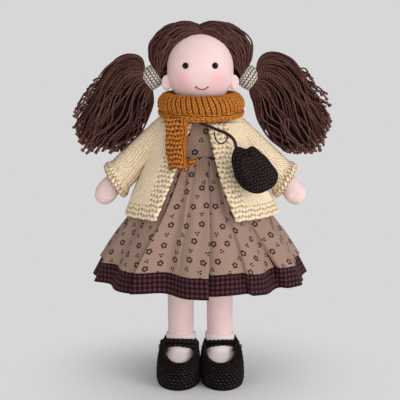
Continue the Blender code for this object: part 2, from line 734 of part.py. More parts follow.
def make_sock(side_name, side, leg_cutter):
    """Thin sock over the foot and ankle."""
    sock = finish_piece(foot_form("sock_" + side_name, side, 0.0), "pale_sock")
    tube = as_cutter(finish_piece(sock_tube("sock_leg_" + side_name, side, 0.0, SOCK_TOP), None, doll_cutters))
    cut(sock, tube, "UNION")
    cut(sock, leg_cutter)
    return sock


def shoe_height(forward_share):
    """Height of the shoe's top line from toe, 1, to heel, -1."""
    start_share = 0.35
    rise = max(start_share - forward_share, 0.0) / (1.0 + start_share)
    return SHOE_TOE_HEIGHT + (SHOE_HEEL_HEIGHT - SHOE_TOE_HEIGHT) * rise ** SHOE_RISE_POWER


def make_shoe(side_name, side):
    """Crocheted shoe: upper, sole, ankle strap and button."""
    centre = Vector((side * SHOE_SPREAD, -SHOE_FORWARD, SOLE_THICKNESS + GAP))

    def upper_place(direction):
        top = shoe_height(-direction.y) - centre.z
        height = top * max(direction.z, 0.0) ** SHOE_WALL_POWER
        return Vector((centre.x + direction.x * SHOE_HALF_WIDTH,
                       centre.y + direction.y * SHOE_HALF_LENGTH, centre.z + height))
    upper = finish_piece(mapped_ball("shoe_upper_" + side_name, 20, 10, upper_place), "dark_crochet")
    foot = foot_form("shoe_last_" + side_name, side, SOFT_GAP)
    ankle = sock_tube("shoe_ankle_" + side_name, side, SOFT_GAP, SHOE_HEEL_HEIGHT + OVERRUN)
    for last in (foot, ankle):
        cut(upper, as_cutter(finish_piece(last, None, doll_cutters)))
    mouth_place = Matrix.Translation((centre.x, -SHOE_MOUTH_FORWARD, FOOT_TOP - OVERRUN * 2.0))
    mouth_place = mouth_place @ Matrix.Diagonal((SHOE_MOUTH_HALF_WIDTH, SHOE_MOUTH_HALF_LENGTH, 1.0, 1.0))
    mouth_outline = ((0.0, OVERRUN * 8.0), (1.0, OVERRUN * 8.0), (1.0, 0.0), (0.0, 0.0))
    mouth = turned("shoe_mouth_" + side_name, mouth_outline, 20, mouth_place)
    cut(upper, as_cutter(finish_piece(mouth, None, doll_cutters)))
    sole_place = Matrix.Translation((centre.x, centre.y, 0.0))
    sole_place = sole_place @ Matrix.Diagonal((SHOE_HALF_WIDTH, SHOE_HALF_LENGTH, 1.0, 1.0))
    sole_outline = ((0.0, SOLE_THICKNESS), (0.96, SOLE_THICKNESS), (1.0, SOLE_THICKNESS * 0.5), (0.96, 0.0), (0.0, 0.0))
    sole = finish_piece(turned("shoe_sole_" + side_name, sole_outline, 24, sole_place), "dark_crochet")
    return [upper, sole, make_shoe_strap(side_name, side), make_shoe_button(side_name, side)]


def strap_radius():
    """Inner radius of the ankle strap, which clears the sock."""
    return LEG_RADIUS + GAP + SOCK_THICKNESS + SOFT_GAP


def make_shoe_strap(side_name, side):
    """Band across the front of the ankle, sewn at both sides of the shoe."""
    inner = strap_radius()

    def place(u, v):
        angle = math.pi * (0.97 + 1.06 * u)
        lift = STRAP_RISE * max(-math.sin(angle), 0.0)
        return Vector((side * LEG_SPREAD + inner * math.cos(angle), inner * math.sin(angle),
                       STRAP_FOOT + lift + v * STRAP_HEIGHT))
    strap = finish_piece(mapped_surface("shoe_strap_" + side_name, 14, 1, place), "dark_crochet")
    thicken(strap, STRAP_THICKNESS, True)
    return strap


def make_shoe_button(side_name, side):
    """Small glossy button at the outer end of the strap."""
    outer = side * (LEG_SPREAD + strap_radius() + STRAP_THICKNESS + GAP)
    place = facing((side, 0.0, 0.0), (outer, 0.0, STRAP_FOOT + STRAP_HEIGHT * 0.5))
    outline = ((0.0, BUTTON_THICKNESS), (BUTTON_RADIUS * 0.6, BUTTON_THICKNESS * 0.85),
               (BUTTON_RADIUS, BUTTON_THICKNESS * 0.3), (BUTTON_RADIUS * 0.9, 0.0), (0.0, 0.0))
    return finish_piece(turned("shoe_button_" + side_name, outline, 12, place), "button_glass")


def armhole_cutter():
    """Bar along X that leaves room for both shoulders."""
    reach = TORSO_HALF_WIDTH * 1.5
    outline = ((0.0, reach), (ARMHOLE_RADIUS, reach), (ARMHOLE_RADIUS, -reach), (0.0, -reach))
    hole = turned("armholes", outline, 20, facing((1.0, 0.0, 0.0), (0.0, 0.0, SHOULDER_HEIGHT)))
    return as_cutter(finish_piece(hole, None, doll_cutters))


def make_bodice(armholes):
    """Top of the dress, close to the torso, open for the arms."""
    def place(u, v):
        height = WAIST_HEIGHT + GAP + v * (BODICE_TOP - WAIST_HEIGHT)
        wide, deep = torso_sizes(height)
        angle = u * FULL_TURN
        return Vector((math.cos(angle) * (wide + SOFT_GAP), math.sin(angle) * (deep + SOFT_GAP), height))
    bodice = finish_piece(mapped_surface("dress_bodice", 24, 4, place, True), "taupe_cloth")
    thicken(bodice, BODICE_THICKNESS, True)
    cut(bodice, armholes)
    return bodice


def skirt_sizes(height):
    """Outer half sizes of the skirt at a height, without folds."""
    wide, deep = torso_sizes(WAIST_HEIGHT)
    near = SOFT_GAP + BODICE_THICKNESS + SKIRT_THICKNESS
    share = (WAIST_HEIGHT - height) / (WAIST_HEIGHT - SKIRT_HEM_HEIGHT)
    flare = sizes_at(SKIRT_SHARES, share)[0]
    return (wide + near + flare * (SKIRT_HALF_WIDTH - wide - near),
            deep + near + flare * (SKIRT_HALF_DEPTH - deep - near), flare)


def fold_wave(angle):
    """Folds round the skirt, from -1 to 1, with a fold in the middle of the front."""
    return math.cos(FOLD_COUNT * (angle + math.pi * 0.5))


def make_skirt():
    """Gathered skirt that hangs in folds from the waist seam."""
    rows = len(SKIRT_SHARES) - 1

    def place(u, v):
        height_share, flare = SKIRT_SHARES[rows - round(v * rows)]
        height = WAIST_HEIGHT - height_share * (WAIST_HEIGHT - SKIRT_HEM_HEIGHT)
        wide, deep, flare = skirt_sizes(height)
        angle = u * FULL_TURN
        fold = FOLD_DEPTH * flare * fold_wave(angle)
        return Vector((math.cos(angle) * (wide + fold), math.sin(angle) * (deep + fold), height))
    skirt = finish_piece(mapped_surface("dress_skirt", FOLD_COUNT * 5, rows, place, True), "taupe_cloth")
    thicken(skirt, SKIRT_THICKNESS, False)
    return skirt


def make_flounce():
    """Checked flounce sewn inside the skirt, showing below its hem."""
    rows = 2
    hem_wide, hem_deep, _ = skirt_sizes(SKIRT_HEM_HEIGHT)
    inside = SKIRT_THICKNESS + SOFT_GAP * 2.0

    def place(u, v):
        height = FLOUNCE_HEM_HEIGHT + v * (FLOUNCE_TOP - FLOUNCE_HEM_HEIGHT)
        angle = u * FULL_TURN
        if height > SKIRT_HEM_HEIGHT:
            wide, deep, flare = skirt_sizes(height)
            wide, deep = wide - inside, deep - inside
        else:
            share = (SKIRT_HEM_HEIGHT - height) / (SKIRT_HEM_HEIGHT - FLOUNCE_HEM_HEIGHT)
            wide = hem_wide - inside + share * (FLOUNCE_HALF_WIDTH - hem_wide + inside)
            deep = hem_deep - inside + share * (FLOUNCE_HALF_DEPTH - hem_deep + inside)
            flare = 1.0
        fold = FOLD_DEPTH * flare * fold_wave(angle)
        return Vector((math.cos(angle) * (wide + fold), math.sin(angle) * (deep + fold), height))
    flounce = finish_piece(mapped_surface("checked_flounce", FOLD_COUNT * 5, rows, place, True), "checked_cloth")
    thicken(flounce, SKIRT_THICKNESS, False)
    return flounce


def cardigan_point(turn, share):
    """Outer point of the cardigan: turn is an angle from the middle of the front, share runs up."""
    wide, deep = sizes_at(CARDIGAN_SHARES, share)
    height = CARDIGAN_HEM + share * (CARDIGAN_TOP - CARDIGAN_HEM)
    return Vector((math.sin(turn) * wide * CARDIGAN_HALF_WIDTH,
                   -math.cos(turn) * deep * CARDIGAN_HALF_DEPTH, height))


def make_cardigan(sleeve_cutters):
    """Open cardigan: a back and two fronts that meet it at the side seams."""
    quarter = math.pi * 0.5
    seam = Vector((0.0, SOFT_GAP, 0.0))
    rows = 6
    edges = {"left": (1.0, LEFT_EDGE_SHARES), "right": (-1.0, RIGHT_EDGE_SHARES)}
    pieces = []
    for side_name, (side, shares) in edges.items():
        def front_place(u, v, side=side, shares=shares):
            edge = quarter * float(smooth_row([(share,) for share in shares], v)[0])
            across = u if side > 0.0 else 1.0 - u
            return cardigan_point(side * (edge + across * (quarter - edge)), v) - seam
        front = mapped_surface("cardigan_front_" + side_name, 7, rows, front_place)
        pieces.append(finish_piece(front, "cream_knit"))

    def back_place(u, v):
        return cardigan_point(quarter + u * math.pi, v) + seam
    pieces.append(finish_piece(mapped_surface("cardigan_back", 14, rows, back_place), "cream_knit"))
    for piece in pieces:
        thicken(piece, CARDIGAN_THICKNESS, False)
        for cutter in sleeve_cutters:
            cut(piece, cutter)
    return pieces


def arm_axis(side):
    """Direction of an arm at rest, and the direction square to it in the front view."""
    slope = math.radians(ARM_SLOPE_DEG)
    axis = Vector((side * math.cos(slope), 0.0, -math.sin(slope)))
    return axis, Vector((side * math.sin(slope), 0.0, math.cos(slope)))


def sleeve_surface(name, side, grow, start_share):
    """Tapered tube round the arm from the shoulder to the cuff, grown by a distance for cutting."""
    _, across = arm_axis(side)
    shoulder = Vector((side * SHOULDER_OUT, 0.0, SHOULDER_HEIGHT))
    top_from = shoulder + across * SLEEVE_RADIUS
    foot_from = shoulder - across * SLEEVE_RADIUS
    top_to = Vector((side * CUFF_TOP_OUT, 0.0, CUFF_TOP_HEIGHT))
    foot_to = Vector((side * CUFF_FOOT_OUT, 0.0, CUFF_FOOT_HEIGHT))

    def place(u, v):
        along = start_share + v * (1.0 - start_share)
        top = top_from.lerp(top_to, along)
        foot = foot_from.lerp(foot_to, along)
        half = (top - foot) * 0.5
        angle = -side * u * FULL_TURN
        point = (top + foot) * 0.5 + half * (1.0 + grow / half.length) * math.cos(angle)
        depth = SLEEVE_RADIUS + along * (CUFF_HALF_DEPTH - SLEEVE_RADIUS) + grow
        point.y += depth * math.sin(angle)
        return point
    return mapped_surface(name, 16, 4, place, True, grow > 0.0)


def make_sleeve(side_name, side):
    """Knitted sleeve with its cuff, open at the armhole."""
    sleeve = sleeve_surface("sleeve_" + side_name, side, 0.0, SLEEVE_START_SHARE)
    bm = bmesh.new()
    bm.from_mesh(sleeve.data)
    geometry = bm.verts[:] + bm.edges[:] + bm.faces[:]
    bmesh.ops.bisect_plane(bm, geom=geometry, dist=WELD, plane_co=(side * SLEEVE_START_OUT, 0.0, 0.0),
                           plane_no=(side, 0.0, 0.0), clear_inner=True)
    bm.to_mesh(sleeve.data)
    bm.free()
    thicken(finish_piece(sleeve, "cream_knit"), SLEEVE_THICKNESS, False)
    return sleeve


def make_scarf(turning_cutter, torso_cutter):
    """Scarf wrapped once round the neck, lower at the front."""
    outline = [(radius * SCARF_HALF_WIDTH, SCARF_BOTTOM + height * (SCARF_TOP - SCARF_BOTTOM))
               for radius, height in SCARF_SHARES]
    lean = Matrix.Identity(4)
    lean[2][1] = SCARF_LEAN_SHARE
    scarf = finish_piece(turned("scarf_loop", outline, 24, lean), "mustard_knit")
    cut(scarf, turning_cutter)
    cut(scarf, torso_cutter)
    return scarf


def make_scarf_end(name, offset, foot, behind):
    """Hanging end of the scarf, round at the top edge where it lifts."""
    radius = TAIL_THICKNESS * 0.5
    steps = 6
    hinge = Vector((0.0, -TAIL_HINGE_FORWARD + behind, TAIL_HINGE_HEIGHT))
    lean_per_drop = TAIL_LEAN / (TAIL_HINGE_HEIGHT - TAIL_FOOT)
    outline = []
    for k in range(steps + 1):
        angle = math.pi * k / steps
        outline.append((hinge.y + radius * math.cos(angle), hinge.z + radius * math.sin(angle)))
    drop = hinge.z - foot
    outline.append((hinge.y - radius - lean_per_drop * drop, foot))
    outline.append((hinge.y + radius - lean_per_drop * drop, foot))
    bm = bmesh.new()
    face = bm.faces.new([bm.verts.new((-offset - TAIL_HALF_WIDTH, depth, height)) for depth, height in outline])
    swept = bmesh.ops.extrude_face_region(bm, geom=[face])
    moved = [item for item in swept["geom"] if isinstance(item, bmesh.types.BMVert)]
    bmesh.ops.translate(bm, verts=moved, vec=(TAIL_HALF_WIDTH * 2.0, 0.0, 0.0))
    bmesh.ops.recalc_face_normals(bm, faces=bm.faces)
    mesh = bpy.data.meshes.new(name)
    bm.to_mesh(mesh)
    bm.free()
    return finish_piece(bpy.data.objects.new(name, mesh), "mustard_knit")


def bag_hinge():
    """Front edge of the strap's end, where the bag tips away from the skirt."""
    end = Vector(STRAP_ROUTE[0])
    return end - Vector((0.0, STRAP_CORD_RADIUS + GAP, GAP + STRAP_CORD_RADIUS * STRAP_END_SHARE))


def make_bag():
    """Crocheted pouch with the strap sewn to its upper corner."""
    corners = [Vector(shares) for shares in BAG_OUTLINE_SHARES]
    corners.sort(key=lambda corner: math.atan2(corner.y, corner.x))
    angles = [math.atan2(corner.y, corner.x) for corner in corners]
    reaches = [corner.length for corner in corners]
    top = bag_hinge().z

    def place(direction):
        ring = math.hypot(direction.x, direction.y)
        swell = (ring ** BAG_POWER + abs(direction.z) ** BAG_POWER) ** (-1.0 / BAG_POWER)
        angle = math.atan2(direction.y, direction.x)
        reach = float(np.interp(angle, angles, reaches, period=FULL_TURN)) * ring * swell
        return Vector((BAG_OUT + math.cos(angle) * reach * BAG_HALF_WIDTH,
                       -BAG_FORWARD + direction.z * swell * BAG_HALF_DEPTH,
                       min(BAG_HEIGHT + math.sin(angle) * reach * BAG_HALF_HEIGHT, top)))
    return finish_piece(mapped_ball("bag_pouch", 24, 8, place), "dark_crochet")


head_cutter = as_cutter(finish_piece(head_shape("head_room", SOFT_GAP, NECK_TOP - OVERRUN), None, doll_cutters))
turning_head = finish_piece(head_shape("turning_head", SCARF_TURN_ROOM, NECK_TOP - OVERRUN), None, doll_cutters)
turning_cutter = as_cutter(turning_head)
torso_cutter = as_cutter(finish_piece(stuffed_torso("torso_room", SOFT_GAP), None, doll_cutters))
wedge = face_wedge()

head_pieces = make_head()
head_pieces.append(make_smile())
for side_name, side in SIDES:
    head_pieces.append(make_ear(side_name, side, head_cutter))
    head_pieces.append(make_hair(side_name, side, head_cutter, wedge))
    pigtail_hinge = hinge_empty("pigtail_hinge_" + side_name, tie_pivot(side))
    carry([make_tie(side_name, side), make_pigtail(side_name, side)], pigtail_hinge)
carry(head_pieces, hinge_empty("neck_hinge", (0.0, 0.0, NECK_TOP)))

torso = finish_piece(stuffed_torso("torso", 0.0), "skin")
carry([make_hip_strip()], hinge_empty("hip_hinge", (0.0, 0.0, HIP_FOLD_HEIGHT)))
sleeve_cutters = []
for side_name, side in SIDES:
    leg_pieces = [finish_piece(leg_form("leg_" + side_name, side, 0.0), "skin")]
    leg_room = as_cutter(finish_piece(leg_form("leg_room_" + side_name, side, GAP), None, doll_cutters))
    leg_pieces.append(make_sock(side_name, side, leg_room))
    leg_pieces.extend(make_shoe(side_name, side))
    carry(leg_pieces, hinge_empty("leg_hinge_" + side_name, (side * LEG_SPREAD, 0.0, LEG_HINGE_HEIGHT)))
    shoulder = hinge_empty("shoulder_hinge_" + side_name, (side * SHOULDER_OUT, 0.0, SHOULDER_HEIGHT))
    carry([make_arm(side_name, side), make_sleeve(side_name, side)], shoulder)
    sleeve_room = sleeve_surface("sleeve_room_" + side_name, side, GAP * 1.5, SLEEVE_START_SHARE)
    sleeve_cutters.append(as_cutter(finish_piece(sleeve_room, None, doll_cutters)))

armholes = armhole_cutter()
make_bodice(armholes)
make_skirt()
make_flounce()
make_cardigan([armholes, *sleeve_cutters])
make_scarf(turning_cutter, torso_cutter)
scarf_ends = [make_scarf_end("scarf_tail_front", TAIL_OFFSET, TAIL_FOOT, 0.0)]
carry(scarf_ends, hinge_empty("scarf_hinge", (0.0, -TAIL_HINGE_FORWARD, TAIL_HINGE_HEIGHT)))
carry([make_bag()], hinge_empty("bag_hinge", bag_hinge()))
cord("bag_strap", smooth_route(STRAP_ROUTE, STRAP_CORD_RADIUS * 4.0), STRAP_CORD_RADIUS, "dark_crochet")
cord("button_loop", smooth_route(LOOP_ROUTE, LOOP_CORD_RADIUS * 3.0), LOOP_CORD_RADIUS, "dark_crochet")
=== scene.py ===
import math

import bmesh
import bpy
import numpy as np
from mathutils import Matrix, Vector


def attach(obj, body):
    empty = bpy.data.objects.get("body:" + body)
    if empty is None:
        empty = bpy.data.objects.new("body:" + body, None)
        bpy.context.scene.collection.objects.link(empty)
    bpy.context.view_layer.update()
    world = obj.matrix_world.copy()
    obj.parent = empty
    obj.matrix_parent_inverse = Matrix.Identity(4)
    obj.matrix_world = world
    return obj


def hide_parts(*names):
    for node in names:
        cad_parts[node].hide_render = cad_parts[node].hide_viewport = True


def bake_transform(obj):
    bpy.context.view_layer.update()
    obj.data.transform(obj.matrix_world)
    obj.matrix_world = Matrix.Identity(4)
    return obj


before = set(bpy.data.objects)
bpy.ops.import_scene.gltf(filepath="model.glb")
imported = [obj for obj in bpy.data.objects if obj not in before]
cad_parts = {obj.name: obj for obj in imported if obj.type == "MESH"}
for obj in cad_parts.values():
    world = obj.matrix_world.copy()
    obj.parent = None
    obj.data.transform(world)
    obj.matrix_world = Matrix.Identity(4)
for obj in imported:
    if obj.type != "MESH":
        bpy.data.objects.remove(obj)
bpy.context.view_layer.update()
dice = np.random.default_rng(11)
mm = 0.001
fullTurn = 2.0 * math.pi
quarterTurn = 0.5 * math.pi
sides = (("left", 1.0), ("right", -1.0))
print("frame loaded")

# camera at the photograph's angle
cameraValues = {"distance": 0.95, "height": 0.325, "pitchDeg": 7.74, "lens": 80.2, "shiftX": -0.0008}
camera = bpy.data.objects.new("camera", bpy.data.cameras.new("camera"))
camera.data.sensor_width = 36.0
camera.data.lens = cameraValues["lens"]
camera.data.shift_x = cameraValues["shiftX"]
camera.data.clip_start = 0.01
camera.location = (0.0, -cameraValues["distance"], cameraValues["height"])
camera.rotation_euler = (math.radians(90.0 - cameraValues["pitchDeg"]), 0.0, 0.0)
bpy.context.scene.collection.objects.link(camera)
bpy.context.scene.camera = camera


# small tools for colours, curves and meshes

def paint(red, green, blue):
    # a colour as it looks on screen, made linear for the shaders
    channels = [value / 255.0 for value in (red, green, blue)]
    return tuple(c / 12.92 if c <= 0.04045 else ((c + 0.055) / 1.055) ** 2.4 for c in channels)


def easeIn(x):
    x = np.clip(x, 0.0, 1.0)
    return x * x * (3.0 - 2.0 * x)


def bell(x, middle, width):
    return np.exp(-((x - middle) / width) ** 2)


def dome(x):
    return np.sqrt(np.clip(1.0 - x * x, 0.0, 1.0))


def blunt(x, power):
    # a sine or cosine squared off, for rounded corners
    return np.sign(x) * np.abs(x) ** power


def closedEnds(v, start, end):
    # 1 along a strip, down to 0 where it closes at either end
    foot = dome(np.clip((v - 1.0 + end) / end, 0.0, 0.999))
    return foot * dome(np.clip((start - v) / start, 0.0, 0.999))


def unit(vectors):
    return vectors / np.maximum(np.linalg.norm(vectors, axis=-1, keepdims=True), 1e-12)


def xyz(x, y, z):
    return np.stack(np.broadcast_arrays(x, y, z), axis=1)


def smoothRows(rows, steps=24):
    # dense samples of a smooth curve through the rows
    table = np.array(rows, dtype=float)
    last = len(table) - 1
    mark = np.linspace(0.0, last, last * steps + 1)
    index = np.minimum(mark.astype(int), last - 1)
    t = (mark - index)[:, None]
    before, start = table[np.maximum(index - 1, 0)], table[index]
    end, after = table[index + 1], table[np.minimum(index + 2, last)]
    return 0.5 * (2.0 * start + (end - before) * t + (2.0 * before - 5.0 * start + 4.0 * end - after) * t ** 2
                  + (3.0 * start - before - 3.0 * end + after) * t ** 3)


def readRows(rows, share):
    # the other columns of a table, at a share of its first column
    dense = smoothRows(rows)
    return [np.interp(share, dense[:, 0], dense[:, column]) for column in range(1, dense.shape[1])]


def distances(points):
    # how far along the line each point lies
    steps = np.linalg.norm(np.diff(np.asarray(points, dtype=float), axis=0), axis=1)
    return np.concatenate(([0.0], np.cumsum(steps)))


def evenPoints(points, spacing=None, count=None):
    # the same line with evenly spaced points
    points = np.asarray(points, dtype=float)
    travelled = distances(points)
    count = count or max(2, int(round(travelled[-1] / spacing)) + 1)
    marks = np.linspace(0.0, travelled[-1], count)
    return np.stack([np.interp(marks, travelled, points[:, axis]) for axis in range(points.shape[1])], axis=1)


def readGrid(grid, across, along):
    # a smooth surface held as a grid of points, read at shares of its two directions
    rows, columns = grid.shape[:2]
    x, y = np.clip(across, 0.0, 1.0) * (rows - 1), np.clip(along, 0.0, 1.0) * (columns - 1)
    i, j = np.minimum(x.astype(int), rows - 2), np.minimum(y.astype(int), columns - 2)
    p, q = (x - i)[:, None], (y - j)[:, None]
    near = grid[i, j] * (1 - p) + grid[i + 1, j] * p
    far = grid[i, j + 1] * (1 - p) + grid[i + 1, j + 1] * p
    return near * (1 - q) + far * q


def guideGrid(marks, lines, rows=90, columns=90):
    # a grid drawn smoothly through a few guide lines
    even = np.array([evenPoints(smoothRows(line), count=columns) for line in lines])
    table = np.column_stack([marks, even.reshape(len(even), -1)])
    dense = np.stack(readRows(table, np.linspace(marks[0], marks[-1], rows)), axis=1)
    return dense.reshape(rows, columns, -1)


def lengthGrid(place, columns=600, rows=14):
    # how far round the cloth each point lies from the middle of the front
    u = np.linspace(0.0, 1.0, columns)
    table = []
    for v in np.linspace(0.0, 1.0, rows):
        travelled = distances(place(u, np.full(columns, v)))
        table.append(travelled - np.interp(0.5, u, travelled))
    return np.array(table).T[:, :, None]


def newMesh(name, build):
    bm = bmesh.new()
    build(bm)
    mesh = bpy.data.meshes.new(name)
    bm.to_mesh(mesh)
    bm.free()
    return mesh


def changeMesh(mesh, change):
    bm = bmesh.new()
    bm.from_mesh(mesh)
    change(bm)
    bm.to_mesh(mesh)
    bm.free()
    mesh.update()


def weldRims(bm):
    rim = [vert for vert in bm.verts if vert.is_boundary]
    bmesh.ops.remove_doubles(bm, verts=rim, dist=1e-6)


def turnOutward(bm):
    bmesh.ops.recalc_face_normals(bm, faces=bm.faces)


def fillHoles(bm):
    bmesh.ops.holes_fill(bm, edges=[edge for edge in bm.edges if edge.is_boundary])
    turnOutward(bm)


def joinMeshes(name, meshes):
    # several shells in one mesh, with their UVs and attributes
    def build(bm):
        for mesh in meshes:
            bm.from_mesh(mesh)
    return newMesh(name, build)


def pointsOf(mesh):
    flat = np.empty(len(mesh.vertices) * 3)
    mesh.vertices.foreach_get("co", flat)
    return flat.reshape(-1, 3)


def keepAttribute(mesh, name, values):
    layer = mesh.attributes.new(name, "FLOAT", "POINT")
    values = np.broadcast_to(np.asarray(values, dtype=np.float32), (len(mesh.vertices),))
    layer.data.foreach_set("value", np.ascontiguousarray(values))


def keepCloth(mesh, cloth):
    # cloth coordinates in metres, kept as the UV map
    index = np.empty(len(mesh.loops), dtype=np.int32)
    mesh.loops.foreach_get("vertex_index", index)
    mesh.uv_layers[0].data.foreach_set("uv", np.asarray(cloth, dtype=np.float32)[index].ravel())


def sameCloth(u, v):
    return u, v


def surfaceMesh(name, columns, rows, place, cloth=sameCloth, relief=None, depth=0.0, weld=False, flip=False,
                sunk=0.0):
    # a grid laid on place(u, v), lifted by its stitches, with cloth coordinates in metres
    step = 0.002

    def build(bm):
        bm.loops.layers.uv.new("UVMap")
        bmesh.ops.create_grid(bm, x_segments=columns, y_segments=rows, size=0.5, calc_uvs=True)
        if flip:
            bmesh.ops.reverse_faces(bm, faces=bm.faces)
    mesh = newMesh(name, build)
    u, v = pointsOf(mesh).T[:2] + 0.5
    points = place(u, v)
    st = np.stack(cloth(u, v), axis=1)
    if relief is not None:
        across = place(u + step, v) - place(u - step, v)
        along = place(u, np.minimum(v + step, 1.0)) - place(u, np.maximum(v - step, 0.0))
        normal = unit(np.cross(across, along)) * (-1.0 if flip else 1.0)
        height = relief(st[:, 0], st[:, 1], u, v)
        points = points + normal * ((height - sunk) * depth)[:, None]
        # the stitch heights, kept so the yarn materials paint shade in the gaps
        keepAttribute(mesh, "relief", height)
    mesh.vertices.foreach_set("co", points.ravel())
    keepCloth(mesh, st)
    if weld:
        changeMesh(mesh, weldRims)
    mesh.update()
    return mesh


def cappedTube(name, columns, rows, place):
    # a closed form, its two ends filled
    mesh = surfaceMesh(name, columns, rows, place, weld=True)
    changeMesh(mesh, fillHoles)
    return mesh


def ballMesh(name, segments, rings, place):
    # a ball laid on place(directions)
    def build(bm):
        bmesh.ops.create_uvsphere(bm, u_segments=segments, v_segments=rings, radius=1.0)
    mesh = newMesh(name, build)
    mesh.vertices.foreach_set("co", place(unit(pointsOf(mesh))).ravel())
    changeMesh(mesh, turnOutward)
    return mesh


def spunMesh(name, outline, steps, place):
    # an outline of (radius, height) turned round local Z
    def build(bm):
        verts = [bm.verts.new((radius, 0.0, height)) for radius, height in outline]
        edges = [bm.edges.new(pair) for pair in zip(verts, verts[1:])]
        bmesh.ops.spin(bm, geom=verts + edges, cent=(0, 0, 0), axis=(0, 0, 1), angle=fullTurn, steps=steps,
                       use_merge=True)
        bmesh.ops.remove_doubles(bm, verts=bm.verts, dist=1e-6)
        turnOutward(bm)
        bmesh.ops.transform(bm, matrix=place, verts=bm.verts)
    return newMesh(name, build)


def facing(axis, origin):
    turn = Vector(axis).normalized().to_track_quat("Z", "Y").to_matrix().to_4x4()
    return Matrix.Translation(origin) @ turn


def yarnMesh(name, paths, radius, pitch, plies=2, ringSides=6, taper=0.75):
    # twisted yarn along each path: a lobed profile that turns as it goes
    lobe = 0.14
    turns = fullTurn * np.arange(ringSides) / ringSides
    profile = bpy.data.curves.new(name + "Profile", "CURVE")
    ring = profile.splines.new("POLY")
    ring.points.add(ringSides - 1)
    for point, angle in zip(ring.points, turns):
        reach = radius * (1.0 - lobe + lobe * math.cos(plies * angle))
        point.co = (reach * math.cos(angle), reach * math.sin(angle), 0.0, 1.0)
    ring.use_cyclic_u = True
    curve = bpy.data.curves.new(name + "Curve", "CURVE")
    items = [bpy.data.objects.new(data.name, data) for data in (profile, curve)]
    curve.dimensions = "3D"
    curve.bevel_mode = "OBJECT"
    curve.bevel_object = items[0]
    for path in paths:
        spline = curve.splines.new("POLY")
        spline.points.add(len(path) - 1)
        widths = np.ones(len(path))
        widths[0] = widths[-1] = taper
        spline.points.foreach_set("co", np.column_stack([path, np.ones(len(path))]).ravel())
        spline.points.foreach_set("tilt", distances(path) / pitch * fullTurn)
        spline.points.foreach_set("radius", widths)
    for item in items:
        bpy.context.scene.collection.objects.link(item)
    bpy.context.view_layer.update()
    mesh = bpy.data.meshes.new_from_object(items[1].evaluated_get(bpy.context.evaluated_depsgraph_get()))
    mesh.name = name
    tones = np.concatenate([np.full(len(path) * ringSides, dice.uniform()) for path in paths])
    keepAttribute(mesh, "tone", tones)
    # ply lobes as relief, so the grooves between the plies take the painted shade of the gap colour
    keepAttribute(mesh, "relief", np.tile(0.5 + 0.5 * np.cos(plies * turns), len(tones) // ringSides))
    changeMesh(mesh, fillHoles)
    for item, data in zip(items, (profile, curve)):
        bpy.data.objects.remove(item)
        bpy.data.curves.remove(data)
    return mesh


def linkPiece(name, mesh, material):
    # a finished mesh as an object, smooth and with its material
    piece = bpy.data.objects.new(name, mesh)
    bpy.context.scene.collection.objects.link(piece)
    mesh.materials.clear()
    mesh.materials.append(material)
    mesh.shade_smooth()
    return piece


def fitPiece(name, mesh, material, node, body=None):
    # a piece that shows instead of a CAD node and rides on a body
    piece = linkPiece(name, mesh, material)
    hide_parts(node)
    if body:
        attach(piece, body)
    return piece


# stitches, as heights from 0 in the gaps to 1 on the yarn

def chance(first, second):
    # an even number from 0 to 1 for each stitch
    return (np.sin(first * 12.9898 + second * 78.233) * 43758.5453) % 1.0


def uneven(s, t, reach):
    # hand knitting never runs quite straight
    return (s + reach * np.sin(t * 310.0 + 2.0 * np.sin(s * 170.0)),
            t + reach * np.sin(s * 430.0 + 2.0 * np.sin(t * 210.0)))


def stockingStitch(s, t, wide, tall, lean=0.75):
    # columns of V shapes, a deeper valley between the columns
    s, t = uneven(s, t, wide * 0.09)
    across = np.abs((s / wide) % 1.0 - 0.5) * 2.0
    leg = dome((across - 0.46) / 0.50)
    rise = t / tall - lean * across
    bead = dome((rise % 1.0 - 0.5) / 0.5)
    return leg * (0.22 + 0.78 * bead) * (0.84 + 0.16 * chance(np.floor(rise), np.floor(2.0 * s / wide)))


def garterStitch(s, t, wide, tall, knobbly=0.50):
    # ridges of bumps with a valley between them
    s, t = uneven(s, t, wide * 0.16)
    row = t / tall
    number = np.floor(row)
    bump = 0.5 + 0.5 * np.cos(fullTurn * (s / wide + 0.5 * (number % 2.0)))
    ridge = dome((row % 1.0 - 0.36) / 0.37) * (1.0 - knobbly + knobbly * bump)
    between = dome((row % 1.0 - 0.86) / 0.22) * (0.62 - 0.5 * bump)
    return np.maximum(ridge, between) * (0.82 + 0.18 * chance(number, np.floor(s / wide)))


def crochetStitch(s, t, wide, tall):
    # rounds of short posts, each round half a stitch along
    row = np.floor(t / tall)
    column = s / wide + 0.5 * (row % 2.0)
    across = (column % 1.0 - 0.5) * 2.0
    up = ((t / tall) % 1.0 - 0.5) * 2.0
    lump = dome(np.hypot(across * 1.02, up * 0.98))
    split = 1.0 - 0.35 * bell(across, 0.4 * up, 0.16)
    return lump * split * (0.78 + 0.22 * chance(row, np.floor(column)))


# materials, one short function for each finish

def startMaterial(name, colour, roughness, sheen=0.0, gloss=0.25):
    material = bpy.data.materials.new(name)
    material.use_nodes = True
    shader = material.node_tree.nodes["Principled BSDF"]
    values = {"Base Color": (*colour, 1.0), "Roughness": roughness, "Sheen Weight": sheen,
              "Sheen Roughness": 0.6, "Specular IOR Level": gloss}
    for key, value in values.items():
        shader.inputs[key].default_value = value
    return material, material.node_tree, shader


def addNode(tree, kind, values=None, **settings):
    node = tree.nodes.new(kind)
    for key, value in settings.items():
        setattr(node, key, value)
    for key, value in (values or {}).items():
        node.inputs[key].default_value = value
    return node


def feed(tree, socket, value):
    # a number, a colour or another node's output into a socket
    if isinstance(value, (int, float)):
        socket.default_value = value
    elif isinstance(value, tuple):
        socket.default_value = (*value, 1.0)
    elif value is not None:
        tree.links.new(value, socket)


